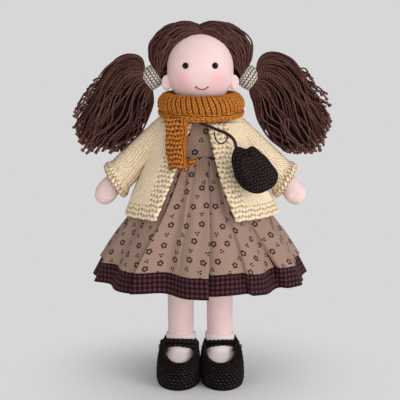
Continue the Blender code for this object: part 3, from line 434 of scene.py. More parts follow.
def calc(tree, operation, *values):
    # one Math node, fed by sockets or numbers
    node = addNode(tree, "ShaderNodeMath", operation=operation)
    for socket, value in zip(node.inputs, values):
        feed(tree, socket, value)
    return node.outputs[0]


def times(tree, first, second):
    return calc(tree, "MULTIPLY", first, second)


def plus(tree, first, second):
    return calc(tree, "ADD", first, second)


def wave(tree, socket, scale):
    return calc(tree, "SINE", times(tree, socket, scale))


def mixColour(tree, factor, first, second, share=None):
    if share is not None:
        factor = times(tree, factor, share)
    node = addNode(tree, "ShaderNodeMix", data_type="RGBA")
    for number, value in ((0, factor), (6, first), (7, second)):
        feed(tree, node.inputs[number], value)
    return node.outputs[2]


def noise(tree, coordinates, scale, detail=3.0, roughness=0.6, stretch=None):
    if stretch:
        mapping = addNode(tree, "ShaderNodeMapping", {"Scale": stretch})
        tree.links.new(coordinates, mapping.inputs["Vector"])
        coordinates = mapping.outputs["Vector"]
    node = addNode(tree, "ShaderNodeTexNoise", {"Scale": scale, "Detail": detail, "Roughness": roughness})
    tree.links.new(coordinates, node.inputs["Vector"])
    return node.outputs["Fac"]


def ramp(tree, factor, low, high):
    # 0 below low, 1 above high
    node = addNode(tree, "ShaderNodeMapRange", {"From Min": low, "From Max": high},
                   interpolation_type="SMOOTHSTEP")
    tree.links.new(factor, node.inputs["Value"])
    return node.outputs["Result"]


def bump(tree, shader, height, distance, strength):
    node = addNode(tree, "ShaderNodeBump", {"Strength": strength, "Distance": distance})
    tree.links.new(height, node.inputs["Height"])
    tree.links.new(node.outputs["Normal"], shader.inputs["Normal"])


def objectPlace(tree):
    return addNode(tree, "ShaderNodeTexCoord").outputs["Object"]


def clothPlace(tree):
    return addNode(tree, "ShaderNodeUVMap").outputs["UV"]


def kept(tree, name):
    return addNode(tree, "ShaderNodeAttribute", attribute_name=name).outputs["Fac"]


def axesOf(tree, vector):
    split = addNode(tree, "ShaderNodeSeparateXYZ")
    tree.links.new(vector, split.inputs["Vector"])
    return split.outputs


def yarnMaterial(name, light, deep, gap, fibre, sheen, edges, toned=False):
    # spun yarn: painted shade in the gaps between stitches and plies, uneven along the thread, with fine
    # fibres
    light, deep, gap = (paint(*colour) for colour in (light, deep, gap))
    material, tree, shader = startMaterial(name, light, 0.92, sheen)
    place = objectPlace(tree)
    thread = noise(tree, place, fibre, 3.0, 0.7)
    colour = mixColour(tree, ramp(tree, noise(tree, place, 260.0, 4.0), 0.35, 0.65), light, deep, 0.35)
    if toned:
        colour = mixColour(tree, kept(tree, "tone"), colour, deep, 0.75)
    colour = mixColour(tree, ramp(tree, thread, 0.35, 0.7), colour, deep, 0.25)
    # the gap colour is painted shade, laid where the kept relief is low
    colour = mixColour(tree, ramp(tree, kept(tree, "relief"), *edges), gap, colour)
    feed(tree, shader.inputs["Base Color"], colour)
    bump(tree, shader, thread, 0.0004, 0.6)
    shader.inputs["Sheen Tint"].default_value = (*light, 1.0)
    return material


skinValues = {
    "base": paint(238, 210, 207), "deep": paint(230, 199, 196), "light": paint(236, 206, 203),
    "thread": paint(200, 160, 156), "threads": 5200.0,
    "rouge": paint(226, 148, 156), "rougeRadius": 0.0172, "rougeShare": 0.46,
    "cheeks": ((-0.0193, -0.029, 0.3225), (0.0197, -0.029, 0.3235)),
}


def skinMaterial():
    # fine cotton with rouge on the cheeks
    value = skinValues
    material, tree, shader = startMaterial("skinCotton", value["base"], 0.8, 0.2)
    place = objectPlace(tree)
    patches = ramp(tree, noise(tree, place, 42.0, 2.0), 0.3, 0.7)
    colour = mixColour(tree, patches, value["deep"], value["light"])
    for centre in value["cheeks"]:
        away = addNode(tree, "ShaderNodeVectorMath", operation="DISTANCE")
        tree.links.new(place, away.inputs[0])
        away.inputs[1].default_value = centre
        near = ramp(tree, away.outputs["Value"], value["rougeRadius"], 0.001)
        colour = mixColour(tree, near, colour, value["rouge"], value["rougeShare"])
    axes = axesOf(tree, place)
    weave = times(tree, wave(tree, axes[0], value["threads"]), wave(tree, axes[2], value["threads"]))
    feed(tree, shader.inputs["Base Color"], mixColour(tree, weave, colour, value["thread"], 0.03))
    bump(tree, shader, plus(tree, times(tree, weave, 0.5), noise(tree, place, 1500.0, 2.0)), 0.00012, 0.6)
    return material


def plainWeave(tree, shader, uv, threads):
    # over and under threads as a bump, fed by cloth coordinates
    axes = axesOf(tree, uv)
    woven = times(tree, wave(tree, axes[0], threads * fullTurn), wave(tree, axes[1], threads * fullTurn))
    slub = noise(tree, uv, 900.0)
    bump(tree, shader, plus(tree, times(tree, woven, 0.35), slub), 0.00012, 0.8)
    return axes, woven, slub


dressPrint = {
    "ground": paint(166, 136, 122), "deep": paint(152, 123, 109), "light": paint(166, 137, 122),
    "thread": paint(150, 122, 110), "threads": 1250.0,
    "cell": (0.0168, 0.0186), "wander": 0.24, "ring": 0.00225, "petal": 0.00118,
    "ink": paint(26, 15, 12), "inkShare": 0.94, "blur": 0.00014, "ragged": 0.0004,
    # each layer: its shift in cells, its size, its petals and their size
    "layers": ((0.0, 1.0, 5.0, 1.0), (0.5, 0.68, 3.0, 0.78)),
}


def flowerLayer(tree, axes, slub, shift, size, petals, petalSize):
    # 1 on the petals: a ring of them in each cell, moved and turned by chance
    value = dressPrint
    row = plus(tree, calc(tree, "DIVIDE", axes[1], value["cell"][1]), shift)
    rowNumber = calc(tree, "FLOOR", row)
    stagger = times(tree, calc(tree, "MODULO", rowNumber, 2.0), 0.5)
    column = plus(tree, calc(tree, "DIVIDE", axes[0], value["cell"][0]), stagger)
    column = plus(tree, column, shift * 0.6 + 8.0)
    cell = addNode(tree, "ShaderNodeCombineXYZ")
    tree.links.new(calc(tree, "FLOOR", column), cell.inputs[0])
    tree.links.new(rowNumber, cell.inputs[1])
    random = addNode(tree, "ShaderNodeTexWhiteNoise", noise_dimensions="2D")
    tree.links.new(cell.outputs[0], random.inputs["Vector"])
    chances = axesOf(tree, random.outputs["Color"])
    spot = []
    for axis, mark in enumerate((column, row)):
        middle = calc(tree, "MULTIPLY_ADD", chances[axis], value["wander"], 0.5 - value["wander"] / 2.0)
        away = calc(tree, "SUBTRACT", calc(tree, "FRACT", mark), middle)
        spot.append(times(tree, away, value["cell"][axis]))
    x, y = spot
    reach = calc(tree, "SQRT", plus(tree, times(tree, x, x), times(tree, y, y)))
    angle = plus(tree, calc(tree, "ARCTAN2", y, x), times(tree, chances[2], 6.0))
    sector = calc(tree, "DIVIDE", plus(tree, angle, 2.0 * fullTurn), fullTurn / petals)
    folded = times(tree, calc(tree, "SUBTRACT", calc(tree, "FRACT", sector), 0.5), fullTurn / petals)
    along = calc(tree, "SUBTRACT", times(tree, reach, calc(tree, "COSINE", folded)), value["ring"] * size)
    aside = times(tree, reach, calc(tree, "SINE", folded))
    flat = times(tree, times(tree, aside, aside), 0.7)
    away = calc(tree, "SQRT", plus(tree, times(tree, along, along), flat))
    ragged = calc(tree, "MULTIPLY_ADD", slub, value["ragged"], value["ragged"] / -2.0)
    limit = value["petal"] * petalSize
    return ramp(tree, plus(tree, away, ragged), limit + value["blur"], limit - value["blur"])


def dressMaterial():
    # taupe cotton with small dark flowers in staggered rows
    value = dressPrint
    material, tree, shader = startMaterial("flowerCotton", value["ground"], 0.9, 0.05)
    axes, woven, slub = plainWeave(tree, shader, clothPlace(tree), value["threads"])
    colour = mixColour(tree, ramp(tree, slub, 0.3, 0.75), value["deep"], value["light"])
    colour = mixColour(tree, plus(tree, woven, 1.0), colour, value["thread"], 0.05)
    for layer in value["layers"]:
        petal = flowerLayer(tree, axes, slub, *layer)
        colour = mixColour(tree, petal, colour, value["ink"], value["inkShare"])
    feed(tree, shader.inputs["Base Color"], colour)
    return material


checkValues = {"period": 0.0049, "rose": paint(92, 48, 54), "middle": paint(44, 18, 24),
               "dark": paint(2, 0, 1), "threads": 1100.0, "twill": 850.0}


def checkMaterial():
    # gingham: dark and rose threads that cross
    value = checkValues
    material, tree, shader = startMaterial("checkedCotton", value["middle"], 0.9, 0.02)
    axes, woven, slub = plainWeave(tree, shader, clothPlace(tree), value["threads"])
    bands = [ramp(tree, wave(tree, axes[axis], fullTurn / value["period"]), -0.22, 0.22) for axis in (0, 1)]
    colour = mixColour(tree, calc(tree, "MAXIMUM", *bands), value["rose"], value["middle"])
    colour = mixColour(tree, times(tree, *bands), colour, value["dark"])
    twill = wave(tree, plus(tree, axes[0], axes[1]), value["twill"] * fullTurn)
    colour = mixColour(tree, calc(tree, "MULTIPLY_ADD", twill, 0.1, 0.1), colour, value["dark"])
    colour = mixColour(tree, ramp(tree, slub, 0.4, 0.8), colour, value["rose"], 0.25)
    feed(tree, shader.inputs["Base Color"], colour)
    return material


jerseyValues = {"base": paint(243, 228, 225), "deep": paint(238, 218, 217), "light": paint(250, 236, 235),
                "across": 6200.0, "up": 6800.0, "fuzz": 1300.0}


def sockMaterial():
    # fine jersey, its loops too small to model; its colour follows the rib bump, darker in the dips as painted
    # shade
    value = jerseyValues
    material, tree, shader = startMaterial("sockJersey", value["base"], 0.85, 0.4)
    place = objectPlace(tree)
    axes = axesOf(tree, place)
    ribs = times(tree, wave(tree, axes[0], value["across"]), wave(tree, axes[2], value["up"]))
    jersey = plus(tree, ribs, noise(tree, place, value["fuzz"], 2.0))
    colour = mixColour(tree, ramp(tree, jersey, -0.6, 1.2), value["deep"], value["light"])
    feed(tree, shader.inputs["Base Color"], colour)
    bump(tree, shader, jersey, 0.00018, 0.7)
    return material


def glossMaterial(name, colour, roughness, coat=0.0, gloss=0.5):
    # moulded and polished, with a few faint scuffs
    material, tree, shader = startMaterial(name, paint(*colour), roughness, gloss=gloss)
    shader.inputs["Coat Weight"].default_value = coat
    shader.inputs["Coat Roughness"].default_value = 0.05
    place = objectPlace(tree)
    scuffs = ramp(tree, noise(tree, place, 600.0, 4.0, 0.7, (1.0, 5.0, 1.0)), 0.45, 0.8)
    feed(tree, shader.inputs["Roughness"], calc(tree, "MULTIPLY_ADD", scuffs, 0.15, roughness))
    bump(tree, shader, noise(tree, place, 350.0, 2.0), 0.00004, 0.4)
    return material


# light, deep and gap colour (the gap colour is painted shade), fineness of the fibres, sheen, relief at which
# the painted shade of the gap ends and the light colour starts
yarnValues = {
    "hairYarn": ((126, 84, 76), (62, 35, 30), (12, 4, 3), 1100.0, 0.03, (0.0, 0.66), True),
    "creamWool": ((248, 229, 199), (228, 204, 170), (138, 106, 66), 800.0, 0.12, (0.0, 0.72)),
    "mustardWool": ((202, 125, 50), (160, 90, 28), (40, 13, 1), 800.0, 0.04, (0.10, 0.80)),
    "darkCotton": ((66, 49, 49), (42, 28, 28), (8, 3, 3), 900.0, 0.05, (0.05, 0.9)),
    "shoeCotton": ((70, 52, 53), (20, 11, 13), (1, 0, 0), 900.0, 0.02, (0.42, 1.0)),
    "creamLace": ((212, 203, 192), (186, 176, 164), (30, 20, 17), 900.0, 0.10, (0.16, 0.58)),
    "roseThread": ((204, 86, 94), (178, 62, 74), (136, 44, 54), 1500.0, 0.1, (0.08, 0.8)),
}
yarns = {name: yarnMaterial(name, *values) for name, values in yarnValues.items()}
skin = skinMaterial()
flowerCotton = dressMaterial()
checkedCotton = checkMaterial()
sockJersey = sockMaterial()
eyeBlack = glossMaterial("eyeBlack", (3, 2, 2), 0.08, gloss=0.28)
washerWhite = glossMaterial("washerWhite", (226, 225, 221), 0.4)
buttonGloss = glossMaterial("buttonGloss", (104, 114, 134), 0.1, 0.8)
print("materials made")

# cords first: the bag's strap and the button loop, on the routes that the frame holds
strapValues = {
    "route": (
        (0.0358, -0.0612, 0.2532), (0.0356, -0.0606, 0.2585), (0.0342, -0.0592, 0.2632),
        (0.0310, -0.0576, 0.2674), (0.0250, -0.0557, 0.2714), (0.0195, -0.0537, 0.2734),
        (0.0135, -0.0508, 0.2756), (0.0050, -0.0455, 0.2790), (-0.0004, -0.0408, 0.2812),
        (-0.0056, -0.0350, 0.2834), (-0.0110, -0.0250, 0.2864),
        (-0.0180, -0.0165, 0.2885), (-0.0235, -0.0040, 0.2888), (-0.0225, 0.0110, 0.2890),
        (-0.0120, 0.0208, 0.2892), (0.0020, 0.0236, 0.2892), (0.0150, 0.0190, 0.2890),
        (0.0228, 0.0070, 0.2888), (0.0228, -0.0070, 0.2886), (0.0150, -0.0185, 0.2880),
        (0.0068, -0.0262, 0.2862),
    ),
    "radius": 0.0018, "stitch": 0.0034, "relief": 0.34,
}
loopValues = {
    "route": (
        (0.0220, -0.0566, 0.2725), (0.0242, -0.0574, 0.2710), (0.0268, -0.0580, 0.2680),
        (0.0262, -0.0580, 0.2642), (0.0232, -0.0575, 0.2616), (0.0195, -0.0565, 0.2612),
        (0.0162, -0.0550, 0.2635), (0.0145, -0.0535, 0.2680), (0.0143, -0.0520, 0.2726),
    ),
    "radius": 0.0008, "forward": 0.0009, "pitch": 0.0026,
}


def smoothRoute(values, spacing):
    return evenPoints(smoothRows(values["route"], 30), spacing=spacing)


def cordFrames(points):
    # two directions square to the cord, carried along without twist
    tangents = unit(np.gradient(points, axis=0))
    normals = np.empty_like(points)
    normals[0] = unit(np.cross(tangents[0], (0.3, 0.2, 0.9)))
    for k in range(1, len(points)):
        normals[k] = unit(normals[k - 1] - tangents[k] * np.dot(normals[k - 1], tangents[k]))
    return normals, np.cross(tangents, normals)


def chainCord(name, values):
    # crocheted cord: a round chain of plump stitches
    radius = values["radius"]
    fine = smoothRoute(values, values["stitch"] / 7.0)
    marks = np.linspace(0.0, 1.0, len(fine))
    length = distances(fine)[-1]

    def place(u, v):
        angle = (u * fullTurn)[:, None]
        at, normal, binormal = [np.stack([np.interp(v, marks, line[:, axis]) for axis in range(3)], axis=1)
                                for line in (fine, *cordFrames(fine))]
        closing = dome(np.clip(1.0 - np.minimum(v, 1.0 - v) * length / radius, 0.0, 1.0))
        ring = radius * np.maximum(closing, 0.02)[:, None]
        return at + ring * (np.cos(angle) * normal + np.sin(angle) * binormal)

    def cloth(u, v):
        return u * fullTurn * radius, v * length

    def relief(s, t, u, v):
        return stockingStitch(u * 3.0, t, 1.0, values["stitch"])
    mesh = surfaceMesh(name, 24, len(fine) - 1, place, cloth, relief, radius * values["relief"], weld=True,
                       sunk=1.0)
    changeMesh(mesh, turnOutward)
    return mesh


def fitCord(name, mesh, node, path):
    piece = fitPiece(name, mesh, yarns["darkCotton"], node)
    float(distances(path)[-1])
    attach(piece, "torso")


strapPath = smoothRoute(strapValues, strapValues["radius"] * 2.0)
fitCord("bag_strap_cord", chainCord("bag_strap_cord", strapValues), "bag_strap", strapPath)
loopPath = smoothRoute(loopValues, 0.0006) - np.array([0.0, loopValues["forward"], 0.0])
loopMesh = yarnMesh("button_loop_cord", [loopPath], loopValues["radius"] * 1.1, loopValues["pitch"],
                    ringSides=12)
fitCord("button_loop_cord", loopMesh, "button_loop", loopPath)
print("cords made")

# head: stuffed cotton form, ears, eyes and stitched smile
headValues = {"centre": 0.337, "half": (0.0348, 0.033, 0.038), "power": 2.3, "neckTop": 0.3005,
              "cheekHeight": 0.323, "cheekTall": 0.012, "cheekOut": 0.018, "cheekForward": 0.0008}
eyeValues = {"spread": 0.015, "raise": 0.0013, "radius": 0.0033, "dome": 0.0028, "dimple": 0.0011,
             "dimpleWide": 0.0042, "stem": (0.0012, 0.0080)}
smileValues = {"halfWidth": 0.0058, "centre": 0.0018, "drop": 0.0202, "sag": 0.0023, "radius": 0.00064,
               "pitch": 0.0016, "out": 0.0008}
earValues = {"out": 0.0352, "forward": 0.0072, "drop": 0.0158, "half": (0.0054, 0.0034, 0.0082),
             # height, then its middle and width as shares
             "dent": (0.0016, 0.25, 0.1, 0.16), "rim": (0.0003, 0.93, 0.1)}
headCentre = np.array([0.0, 0.0, headValues["centre"]])


def faceDepth(out, height):
    half, power = headValues["half"], headValues["power"]
    side = np.abs(out / half[0]) ** power
    rise = np.abs((height - headValues["centre"]) / half[2]) ** power
    return -half[1] * np.maximum(1.0 - side - rise, 0.0) ** (1.0 / power)


def faceNormal(out, height):
    spot = (out, faceDepth(out, height), height - headValues["centre"])
    return Vector([blunt(value / half, headValues["power"] - 1.0) / half
                   for value, half in zip(spot, headValues["half"])]).normalized()


def headForm(directions):
    # cheeks a little full, a dimple under each eye where its stem pulls
    power = headValues["power"]
    reach = np.sum(np.abs(directions) ** power, axis=1) ** (-1.0 / power)
    points = directions * reach[:, None] * np.array(headValues["half"]) + headCentre
    front = easeIn(-directions[:, 1] * 1.5)
    cheeks = bell(points[:, 2], headValues["cheekHeight"], headValues["cheekTall"])
    points[:, 0] *= 1.0 + headValues["cheekOut"] * cheeks
    points[:, 1] -= headValues["cheekForward"] * front * cheeks
    for side in (-1.0, 1.0):
        away = np.hypot(points[:, 0] - side * eyeValues["spread"],
                        points[:, 2] - headValues["centre"] - eyeValues["raise"])
        points[:, 1] += front * eyeValues["dimple"] * bell(away, 0.0, eyeValues["dimpleWide"])
    points[:, 2] = np.maximum(points[:, 2], headValues["neckTop"])
    return points


head = fitPiece("head_form", ballMesh("head_form", 144, 96, headForm), skin, "head", "head")


def eyeOutline():
    # a dome, its edge and the stem behind it
    radius, stem, steps = eyeValues["radius"], eyeValues["stem"], 10
    turns = [math.pi / 2 * k / steps for k in range(steps + 1)]
    outline = [(radius * math.sin(turn) ** 0.9, eyeValues["dome"] * math.cos(turn) + 0.0002) for turn in turns]
    return outline + [(radius * 0.96, -0.0004), (stem[0], -0.0005), (stem[0], -stem[1]), (0.0, -stem[1])]


for sideName, side in sides:
    height = headValues["centre"] + eyeValues["raise"]
    out = side * eyeValues["spread"]
    spot = Vector((out, faceDepth(out, height) + eyeValues["dimple"] * 0.8, height))
    eyeMesh = spunMesh("eye_dome_" + sideName, eyeOutline(), 48, facing(faceNormal(out, height), spot))
    fitPiece("eye_dome_" + sideName, eyeMesh, eyeBlack, "eye_" + sideName, "head")
    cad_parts["eye_washer_" + sideName].material_slots[0].material = washerWhite

    def earForm(directions, side=side):
        # a small pad with a dent in front, pressed into the head
        points = directions * np.array(earValues["half"])
        x, y, z = directions.T
        deep, out, up, size = earValues["dent"]
        points[:, 1] += deep * np.exp(-((x * side - out) ** 2 + (z - up) ** 2) / size) * (y < 0.0)
        high, place, wide = earValues["rim"]
        points[:, 1] -= high * bell(np.hypot(x, z), place, wide)
        middle = np.array((side * earValues["out"], -earValues["forward"], -earValues["drop"]))
        return points + middle + headCentre
    ear = fitPiece("ear_pad_" + sideName, ballMesh("ear_pad_" + sideName, 48, 32, earForm), skin,
                   "ear_" + sideName, "head")

smilePoints = []
for share in np.linspace(-1.0, 1.0, 40):
    out = smileValues["centre"] + share * smileValues["halfWidth"]
    height = headValues["centre"] - smileValues["drop"] - smileValues["sag"] * (1.0 - abs(share) ** 2.4)
    lift = faceNormal(out, height) * (smileValues["radius"] * 0.75)
    smilePoints.append(Vector((out, faceDepth(out, height) - smileValues["out"], height)) + lift)


def addSmileKnots(bm):
    for end in (smilePoints[0], smilePoints[-1]):
        made = bmesh.ops.create_icosphere(bm, subdivisions=3, radius=smileValues["radius"] * 1.5)
        bmesh.ops.translate(bm, verts=made["verts"], vec=end)


smileMesh = yarnMesh("smile_thread", [np.array(smilePoints)], smileValues["radius"], smileValues["pitch"],
                     ringSides=10)
changeMesh(smileMesh, addSmileKnots)
fitPiece("smile_thread", smileMesh, yarns["roseThread"], "smile_stitch", "head")
print("head made")

# wig: yarn that runs from the parting to each tie over a dark base, painted shade between the strands
hairValues = {
    # one row for each guide strand, from the hairline over the top and down the back to the nape, in mm
    "guides": (
        ((-0.7, -17.4, 371.4), (8.5, -18.6, 370.2), (16.5, -18.4, 364.8),
         (24.5, -15.4, 357.4), (31.5, -9.5, 348.0), (35.8, -4.5, 339.0)),
        ((-0.7, -14.0, 374.8), (12.0, -19.5, 378.0), (25.0, -21.0, 372.8),
         (37.5, -18.5, 362.5), (44.5, -13.0, 350.0), (44.8, -7.0, 339.0)),
        ((-0.7, -7.0, 378.4), (11.5, -8.5, 383.2), (27.0, -7.5, 382.0),
         (42.0, -4.5, 374.0), (51.8, -1.0, 362.5), (53.8, 2.5, 348.5)),
        ((-0.7, 8.0, 380.0), (13.0, 9.5, 383.4), (30.5, 12.0, 381.0),
         (45.0, 15.0, 370.5), (52.5, 17.0, 356.5), (52.0, 14.5, 343.0)),
        ((-0.7, 26.0, 372.0), (14.0, 30.5, 375.0), (30.0, 33.0, 369.5),
         (43.0, 33.0, 357.0), (49.0, 28.0, 344.5), (48.5, 19.5, 336.0)),
        ((-0.7, 38.0, 354.0), (13.0, 40.5, 353.5), (27.0, 39.5, 348.5),
         (38.0, 35.0, 341.0), (43.5, 27.5, 334.5), (45.5, 18.0, 330.0)),
        ((-0.7, 37.5, 324.0), (11.0, 38.5, 322.8), (22.0, 36.0, 321.8),
         (32.0, 30.5, 321.4), (38.5, 23.0, 321.4), (43.0, 15.0, 322.8)),
    ),
    "marks": (0.0, 0.11, 0.22, 0.36, 0.57, 0.78, 1.0),
    "ringDeg": (112.0, 72.0, 12.0, -50.0, -100.0, -135.0, -168.0),
    "strand": 0.00108, "pitch": 0.0056, "outer": 84, "inner": 40, "spacing": 0.0013, "layerGap": 0.0017,
    # where the strands enter the tie: radius and place along its axis
    "rings": ((0.0092, -0.001), (0.0078, 0.005)),
    # sideways wander and lift of a strand: reach, slowest and fastest wave
    "wander": ((0.016, 3.0, 7.0), (0.009, 11.0, 19.0)), "looseness": 0.0008, "lift": (0.0012, 8.0, 16.0),
    # how far the base lies under the strands, how much more away from the hairline, and where it starts
    "under": (0.0009, 0.0016, 0.06), "parting": 0.015,
    # what the dark base under the strands keeps as relief and tone, which paint it as shade between the
    # strands
    "base": (0.1, 1.0),
}
tieValues = {"out": 0.0465, "back": 0.006, "drop": 0.007, "slopeDeg": 35.0, "radius": 0.011, "wall": 0.0025,
             "length": 0.0124, "longer": 0.0004, "roll": 0.0006, "around": 22.0, "rounds": 5.0,
             "relief": 0.0011}


def keepTones(mesh, relief, tone):
    keepAttribute(mesh, "relief", relief)
    keepAttribute(mesh, "tone", tone)
    return mesh


def fromHead(points):
    return unit(points - headCentre)


def tiePivot(side):
    return np.array([side * tieValues["out"], tieValues["back"], headValues["centre"] - tieValues["drop"]])


def slopeAxes(side, degrees):
    # down and out along a slope, and square to it
    slope = math.radians(degrees)
    return (np.array([side * math.cos(slope), 0.0, -math.sin(slope)]),
            np.array([side * math.sin(slope), 0.0, math.cos(slope)]))


def wigGrid(side):
    # the wig's surface, from the parting into the tie's ring
    pivot = tiePivot(side)
    axis, upward = slopeAxes(side, tieValues["slopeDeg"])
    lines = []
    for row, degrees in zip(hairValues["guides"], hairValues["ringDeg"]):
        angle = math.radians(degrees)
        ring = upward * math.cos(angle) - np.array([0.0, math.sin(angle), 0.0])
        points = [np.array([side * x, y, z]) * mm for x, y, z in row]
        lines.append(points + [pivot + ring * wide + axis * along for wide, along in hairValues["rings"]])
    return guideGrid(hairValues["marks"], lines)


def capPath(grid, share, layer):
    # one strand, wandering a little and lying over or under its neighbours
    t = np.linspace(0.0, 1.0, 90)
    phase = dice.uniform(0.0, fullTurn, 3)
    drift = sum(reach * np.sin(t * dice.uniform(slow, fast) + turn)
                for (reach, slow, fast), turn in zip(hairValues["wander"], phase))
    points = readGrid(grid, share + drift * np.sin(t * math.pi), t)
    reach, slow, fast = hairValues["lift"]
    lift = dice.normal(0.0, hairValues["looseness"]) + reach * np.sin(t * dice.uniform(slow, fast) + phase[2])
    lift = (lift - hairValues["strand"] * 0.8 - hairValues["layerGap"] * layer) * easeIn((1.0 - t) / 0.25)
    return evenPoints(points + fromHead(points) * lift[:, None], spacing=hairValues["spacing"])


def hairShadeLining(grid, side):
    # dark lining close under the strands, painted shade seen between them
    near, more, hairline = hairValues["under"]

    def place(u, v):
        points = readGrid(grid, u, v)
        points = points - fromHead(points) * (near + more * easeIn(u / hairline))[:, None]
        points[:, 0] *= easeIn(v / hairValues["parting"])
        return points
    return keepTones(surfaceMesh("hairShadeLining", 90, 40, place, flip=side < 0.0), *hairValues["base"])


for sideName, side in sides:
    name = "hair_yarn_" + sideName
    grid = wigGrid(side)
    paths = []
    for layer, count in enumerate((hairValues["outer"], hairValues["inner"])):
        for k in range(count):
            share = 0.0 if k == 0 else (k + dice.uniform(-0.2, 0.2)) / (count - 1)
            paths.append(capPath(grid, min(share, 1.0), layer))
    strands = yarnMesh("hair_strands_" + sideName, paths, hairValues["strand"], hairValues["pitch"])
    mesh = joinMeshes(name, [strands, hairShadeLining(grid, side)])
    fitPiece(name, mesh, yarns["hairYarn"], "hair_" + sideName, "head")
print("wig made")


# hair ties: short crocheted tubes with open stitches

def tieCloth(u, v):
    return u * fullTurn * tieValues["radius"], (v * 2.0 - 0.5) * tieValues["length"]


def tieRelief(s, t, u, v):
    return crochetStitch(s, t, fullTurn * tieValues["radius"] / tieValues["around"],
                         tieValues["length"] / tieValues["rounds"])


for sideName, side in sides:
    seat = facing(slopeAxes(side, tieValues["slopeDeg"])[0], Vector(tiePivot(side)))

    def tiePlace(u, v, seat=np.array(seat)):
        # from the inner face over the rounded rim and down the outside
        angle = u * fullTurn
        walk = v * 2.0 - 0.5
        outside = np.clip(walk, 0.0, 1.0) * math.pi
        inside = np.maximum(-walk, 0.0) * 2.0 + np.maximum(walk - 1.0, 0.0) * 2.0
        height = (tieValues["length"] + tieValues["longer"]) * (0.5 - 0.5 * np.cos(outside))
        height = height + tieValues["wall"] * 0.25 * np.sin(inside * math.pi) * np.where(walk < 0.5, -1.0, 1.0)
        radius = tieValues["radius"] + tieValues["roll"] * np.sin(outside) - inside * tieValues["wall"] * 1.2
        return xyz(radius * np.cos(angle), radius * np.sin(angle), height) @ seat[:3, :3].T + seat[:3, 3]
    name = "hair_tie_crochet_" + sideName
    mesh = surfaceMesh(name, 242, 96, tiePlace, tieCloth, tieRelief, tieValues["relief"], weld=True)
    fitPiece(name, mesh, yarns["creamLace"], "hair_tie_" + sideName, "pigtail_" + sideName)
print("ties made")

# pigtails: long strands that arch out of the tie and fall to knotted ends
pigtailValues = {
    # inner, middle and outer guide of each pigtail, out and up in mm
    "left": (((52.0, 316.5), (53.5, 308.0), (57.0, 299.0), (61.0, 283.0), (67.5, 271.0), (76.0, 260.0),
              (88.0, 251.0), (96.0, 246.0)),
             ((56.7, 323.0), (64.0, 329.0), (75.0, 328.0), (87.0, 317.0), (98.0, 299.0), (110.0, 277.0),
              (122.0, 256.0), (127.0, 249.0)),
             ((60.5, 330.0), (60.8, 341.0), (65.5, 349.0), (74.0, 352.0), (84.0, 350.0), (94.5, 343.5),
              (103.0, 334.5), (109.5, 323.5), (115.5, 312.0), (124.0, 301.5), (134.0, 288.0), (140.5, 277.0))),
    "right": (((52.0, 316.5), (50.5, 308.0), (50.5, 299.0), (55.0, 286.0), (63.5, 268.5), (76.0, 256.5),
               (86.0, 248.0)),
              ((56.7, 323.0), (63.0, 329.0), (73.0, 326.5), (84.0, 315.0), (95.0, 298.0), (106.0, 276.0),
               (117.0, 255.0), (122.0, 248.0)),
              ((60.5, 330.0), (60.0, 341.0), (64.0, 348.0), (72.0, 350.0), (80.5, 348.8), (89.5, 343.5),
               (98.0, 334.5), (105.0, 322.5), (112.0, 309.0), (120.0, 294.5), (127.5, 282.0), (134.5, 272.0))),
    "halfDepths": (0.0080, 0.0125, 0.0160, 0.0178, 0.0180, 0.0172, 0.0160),
    "count": 132, "spacing": 0.00152, "knot": 0.0017, "loose": 22, "strand": 0.00108,
    # share of strands on the outside, and how far out the others lie
    "outside": 0.7, "within": (0.5, 0.88), "tips": (0.90, 1.0), "curl": 0.02,
    "looseAcross": (0.94, 1.0), "looseDeep": (-0.8, 0.6), "looseTips": (0.58, 0.97), "looseCurl": (0.08, 0.24),
    # sideways and front to back: how far a strand sways; how fast, how much it drifts, how far it may go
    "sway": (0.060, 0.20), "pace": (5.0, 13.0), "drift": 0.05, "limits": (1.03, 1.22),
    # the dark core of the bundle, painted shade seen between the strands: its length, half width and half
    # depth as shares, its relief and tone
    "core": (0.90, 0.455, 0.72), "coreShadeTones": (0.1, 1.0), "knotTones": (0.9, 0.2),
}


def pigtailPoint(grid, side, a, b, t):
    # a from the inner to the outer edge, b from front to back, t from root to tip
    outer, middle = [readGrid(grid, np.full(len(a), share), t) for share in (1.0, 0.5)]
    spot = readGrid(grid, a, t) + np.maximum(a - 1.0, 0.0)[:, None] * (outer - middle) * 2.0
    marks = np.linspace(0.0, 1.0, len(pigtailValues["halfDepths"]))
    depth = np.interp(t, marks, pigtailValues["halfDepths"])
    return xyz(side * spot[:, 0], tieValues["back"] + b * depth, spot[:, 1])


def pigtailPaths(grid, side):
    # a bundle with a loose skin of strands, each ending at its own length
    value = pigtailValues
    paths = []
    golden = math.pi * (3.0 - math.sqrt(5.0))
    for k in range(value["count"] + value["loose"]):
        loose = k >= value["count"]
        ring = 1.0 if k < value["count"] * value["outside"] else dice.uniform(*value["within"])
        a = 0.5 + 0.5 * ring * math.cos(golden * k)
        b = ring * math.sin(golden * k)
        tip, curl = dice.uniform(*value["tips"]), dice.normal(0.0, value["curl"])
        if loose:
            a, b = dice.uniform(*value["looseAcross"]), dice.uniform(*value["looseDeep"])
            tip, curl = dice.uniform(*value["looseTips"]), dice.uniform(*value["looseCurl"])
        t = np.linspace(0.0, tip, 80)
        swing = easeIn(t * 1.6)
        phase = dice.uniform(0.0, fullTurn, 2)
        drift = dice.normal(0.0, value["drift"], 2)
        aside, forth = [reach * np.sin(t * dice.uniform(*value["pace"]) + turn)
                        for reach, turn in zip(value["sway"], phase)]
        aLine = a + swing * (aside + drift[0] * t) + curl * easeIn((t / tip - 0.72) / 0.28)
        bLine = b + swing * (forth + drift[1] * t * 2.0)
        limit = value["limits"][int(loose)]
        points = pigtailPoint(grid, side, np.clip(aLine, -0.02, limit), np.clip(bLine, -1.02, 1.02), t)
        paths.append(evenPoints(points, spacing=value["spacing"]))
    return paths


